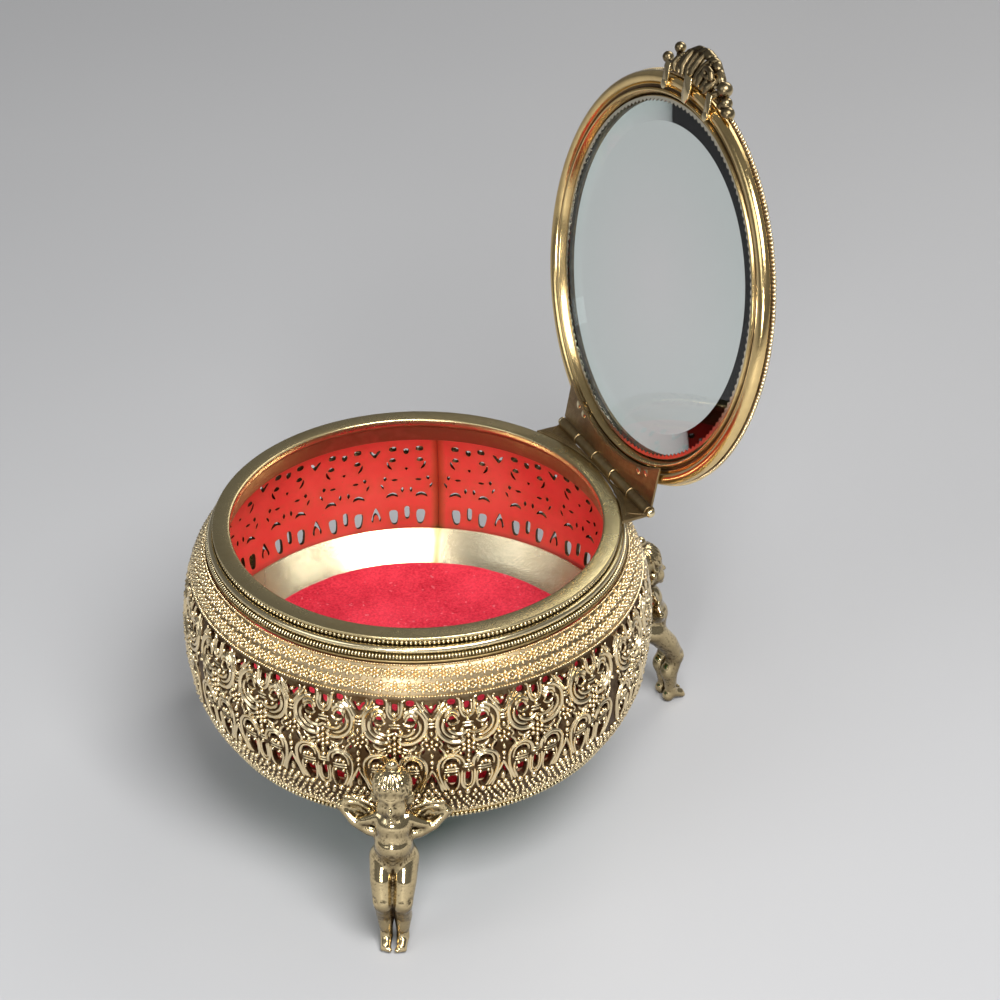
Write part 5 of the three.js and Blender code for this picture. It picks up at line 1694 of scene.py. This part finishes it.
def make_thumb_piece():
    """A cast shell with a tongue and two ears that are riveted to the lid ring."""
    clay = Clay((-18.2, -61.0, 77.4), (18.2, -47.0, 85.6), 0.26)
    model_shell(clay)
    model_berries(clay)
    lid_room = np.hypot(clay.axes[0][:, None, None], clay.axes[1][None, :, None]) - (THUMB_RING + 0.02)
    clay.depth = np.maximum(clay.depth, -lid_room)
    points, faces, hollow = clay.skin()
    low, high, ear_half = LID_LEAF_LOW, LID_LEAF_LOW + LEAF, 1.1
    tongue = [(0.8, -45.3), (1.6, -47.4), (1.5, -51.9), (-1.5, -51.9), (-1.6, -47.4), (-0.8, -45.3)]
    taper = plate(tongue, low, high, 0.12)
    ears, a = [], math.radians(THUMB_RIVETS)
    for side in (-1, 1):
        x, y = RIVET_CIRCLE * math.sin(a) * side, -RIVET_CIRCLE * math.cos(a)
        turns = np.radians(np.linspace(0, 180, 15))
        ear = [(x + ear_half * math.cos(t), y - 0.6 + ear_half * math.sin(t)) for t in turns]
        ears.append(plate([*ear, (x - ear_half, -51.6), (x + ear_half, -51.6)], low + 0.1, high, 0.1))
    parts = [(points, faces.tolist()), taper, *ears]
    # painted shade with tarnish from the skin, none on the tongue and a little painted shade on the ears
    recess = np.concatenate([hollow, np.zeros(len(taper[0])), np.full(sum(len(e[0]) for e in ears), 0.2)])
    piece("thumb_lift_cast", *joined(*parts), FIGURE_GILT, "lid", "gilt_figure", ["thumb_lift"], 60, recess=recess)


# ------------------------------------------------------------ finishes of the solids that stay
def finish_plain_parts():
    screws = [f"foot_screw_{place}" for place in FOOT_ANGLES]
    for node in ["floor_board", "felt_card", *screws]:
        for slot in bpy.data.objects[node].material_slots:
            slot.material = HINGE_BROWN if node in screws else BOARD


make_lid_ring()
make_bezel()
make_glass()
make_lace_ring()
make_hinge()
make_rivets()
make_feet()
make_thumb_piece()
finish_plain_parts()


# ------------------------------------------------------------ floor, lights and camera
def make_stage(size=4.0):
    """A pale floor, and a grey sky that the camera and the glass see brighter than it lights."""
    corners = [(-size, -size, 0), (size, -size, 0), (size, size, 0), (-size, size, 0)]
    floor = in_scene("floor", plain_mesh("floor", corners, [(0, 1, 2, 3)]))
    material, t, where = new_material("floor_paint")
    colour = t.blend(t.noise(where, 3.0, 3.0), (0.46, 0.46, 0.47, 1), (0.52, 0.52, 0.525, 1))
    surface(t, {"Base Color": colour, "Roughness": 0.7})
    floor.data.materials.append(material)
    world = bpy.data.worlds.new("studio")
    scene.world = world
    world.use_nodes = True
    t = Tree(world.node_tree)
    path = t.add("ShaderNodeLightPath").outputs
    seen = t.sum("MAXIMUM", path["Is Camera Ray"], path["Is Transmission Ray"])
    strength = t.span(seen, 0.0, 1.0, 0.20, 0.55)
    t.fill(world.node_tree.nodes["Background"], {"Color": (0.80, 0.82, 0.85, 1), "Strength": strength})


def lamp(name, azimuth, elevation, distance, size, watts, colour=(1, 1, 1)):
    """A soft square lamp that looks at the casket's middle."""
    data = bpy.data.lights.new(name, "AREA")
    data.size = size
    data.energy = watts
    data.color = colour
    made = in_scene(name, data)
    a, e = math.radians(azimuth), math.radians(elevation)
    away = Vector((math.cos(a) * math.cos(e), math.sin(a) * math.cos(e), math.sin(e)))
    made.location = Vector((0, 0, 0.06)) + away * distance
    made.rotation_euler = away.to_track_quat("Z", "Y").to_euler()


def make_camera():
    data = bpy.data.cameras.new("camera")
    data.lens = 101.7
    data.sensor_width = 36
    made = in_scene("camera", data)
    right = Vector((0.43772, 0.89911, 0.00195))
    up = Vector((-0.49574, 0.23952, 0.83479))
    place = Vector((0.5186, -0.2404, 0.45705))
    made.matrix_world = Matrix(list(zip(right, up, right.cross(up), place)) + [(0, 0, 0, 1)])
    scene.camera = made


for helper in HELPERS:
    bpy.data.objects.remove(helper)
make_stage()
lamp("key", -2, 54, 0.9, 0.45, 9)
lamp("fill", -80, 35, 1.2, 0.7, 3.0, (0.92, 0.96, 1.0))
lamp("back", 120, 40, 1.2, 0.7, 3.6, (1.0, 0.97, 0.92))
lamp("low", -35, 16, 0.8, 0.14, 2.3)
make_camera()
scene.view_settings.view_transform = "Standard"
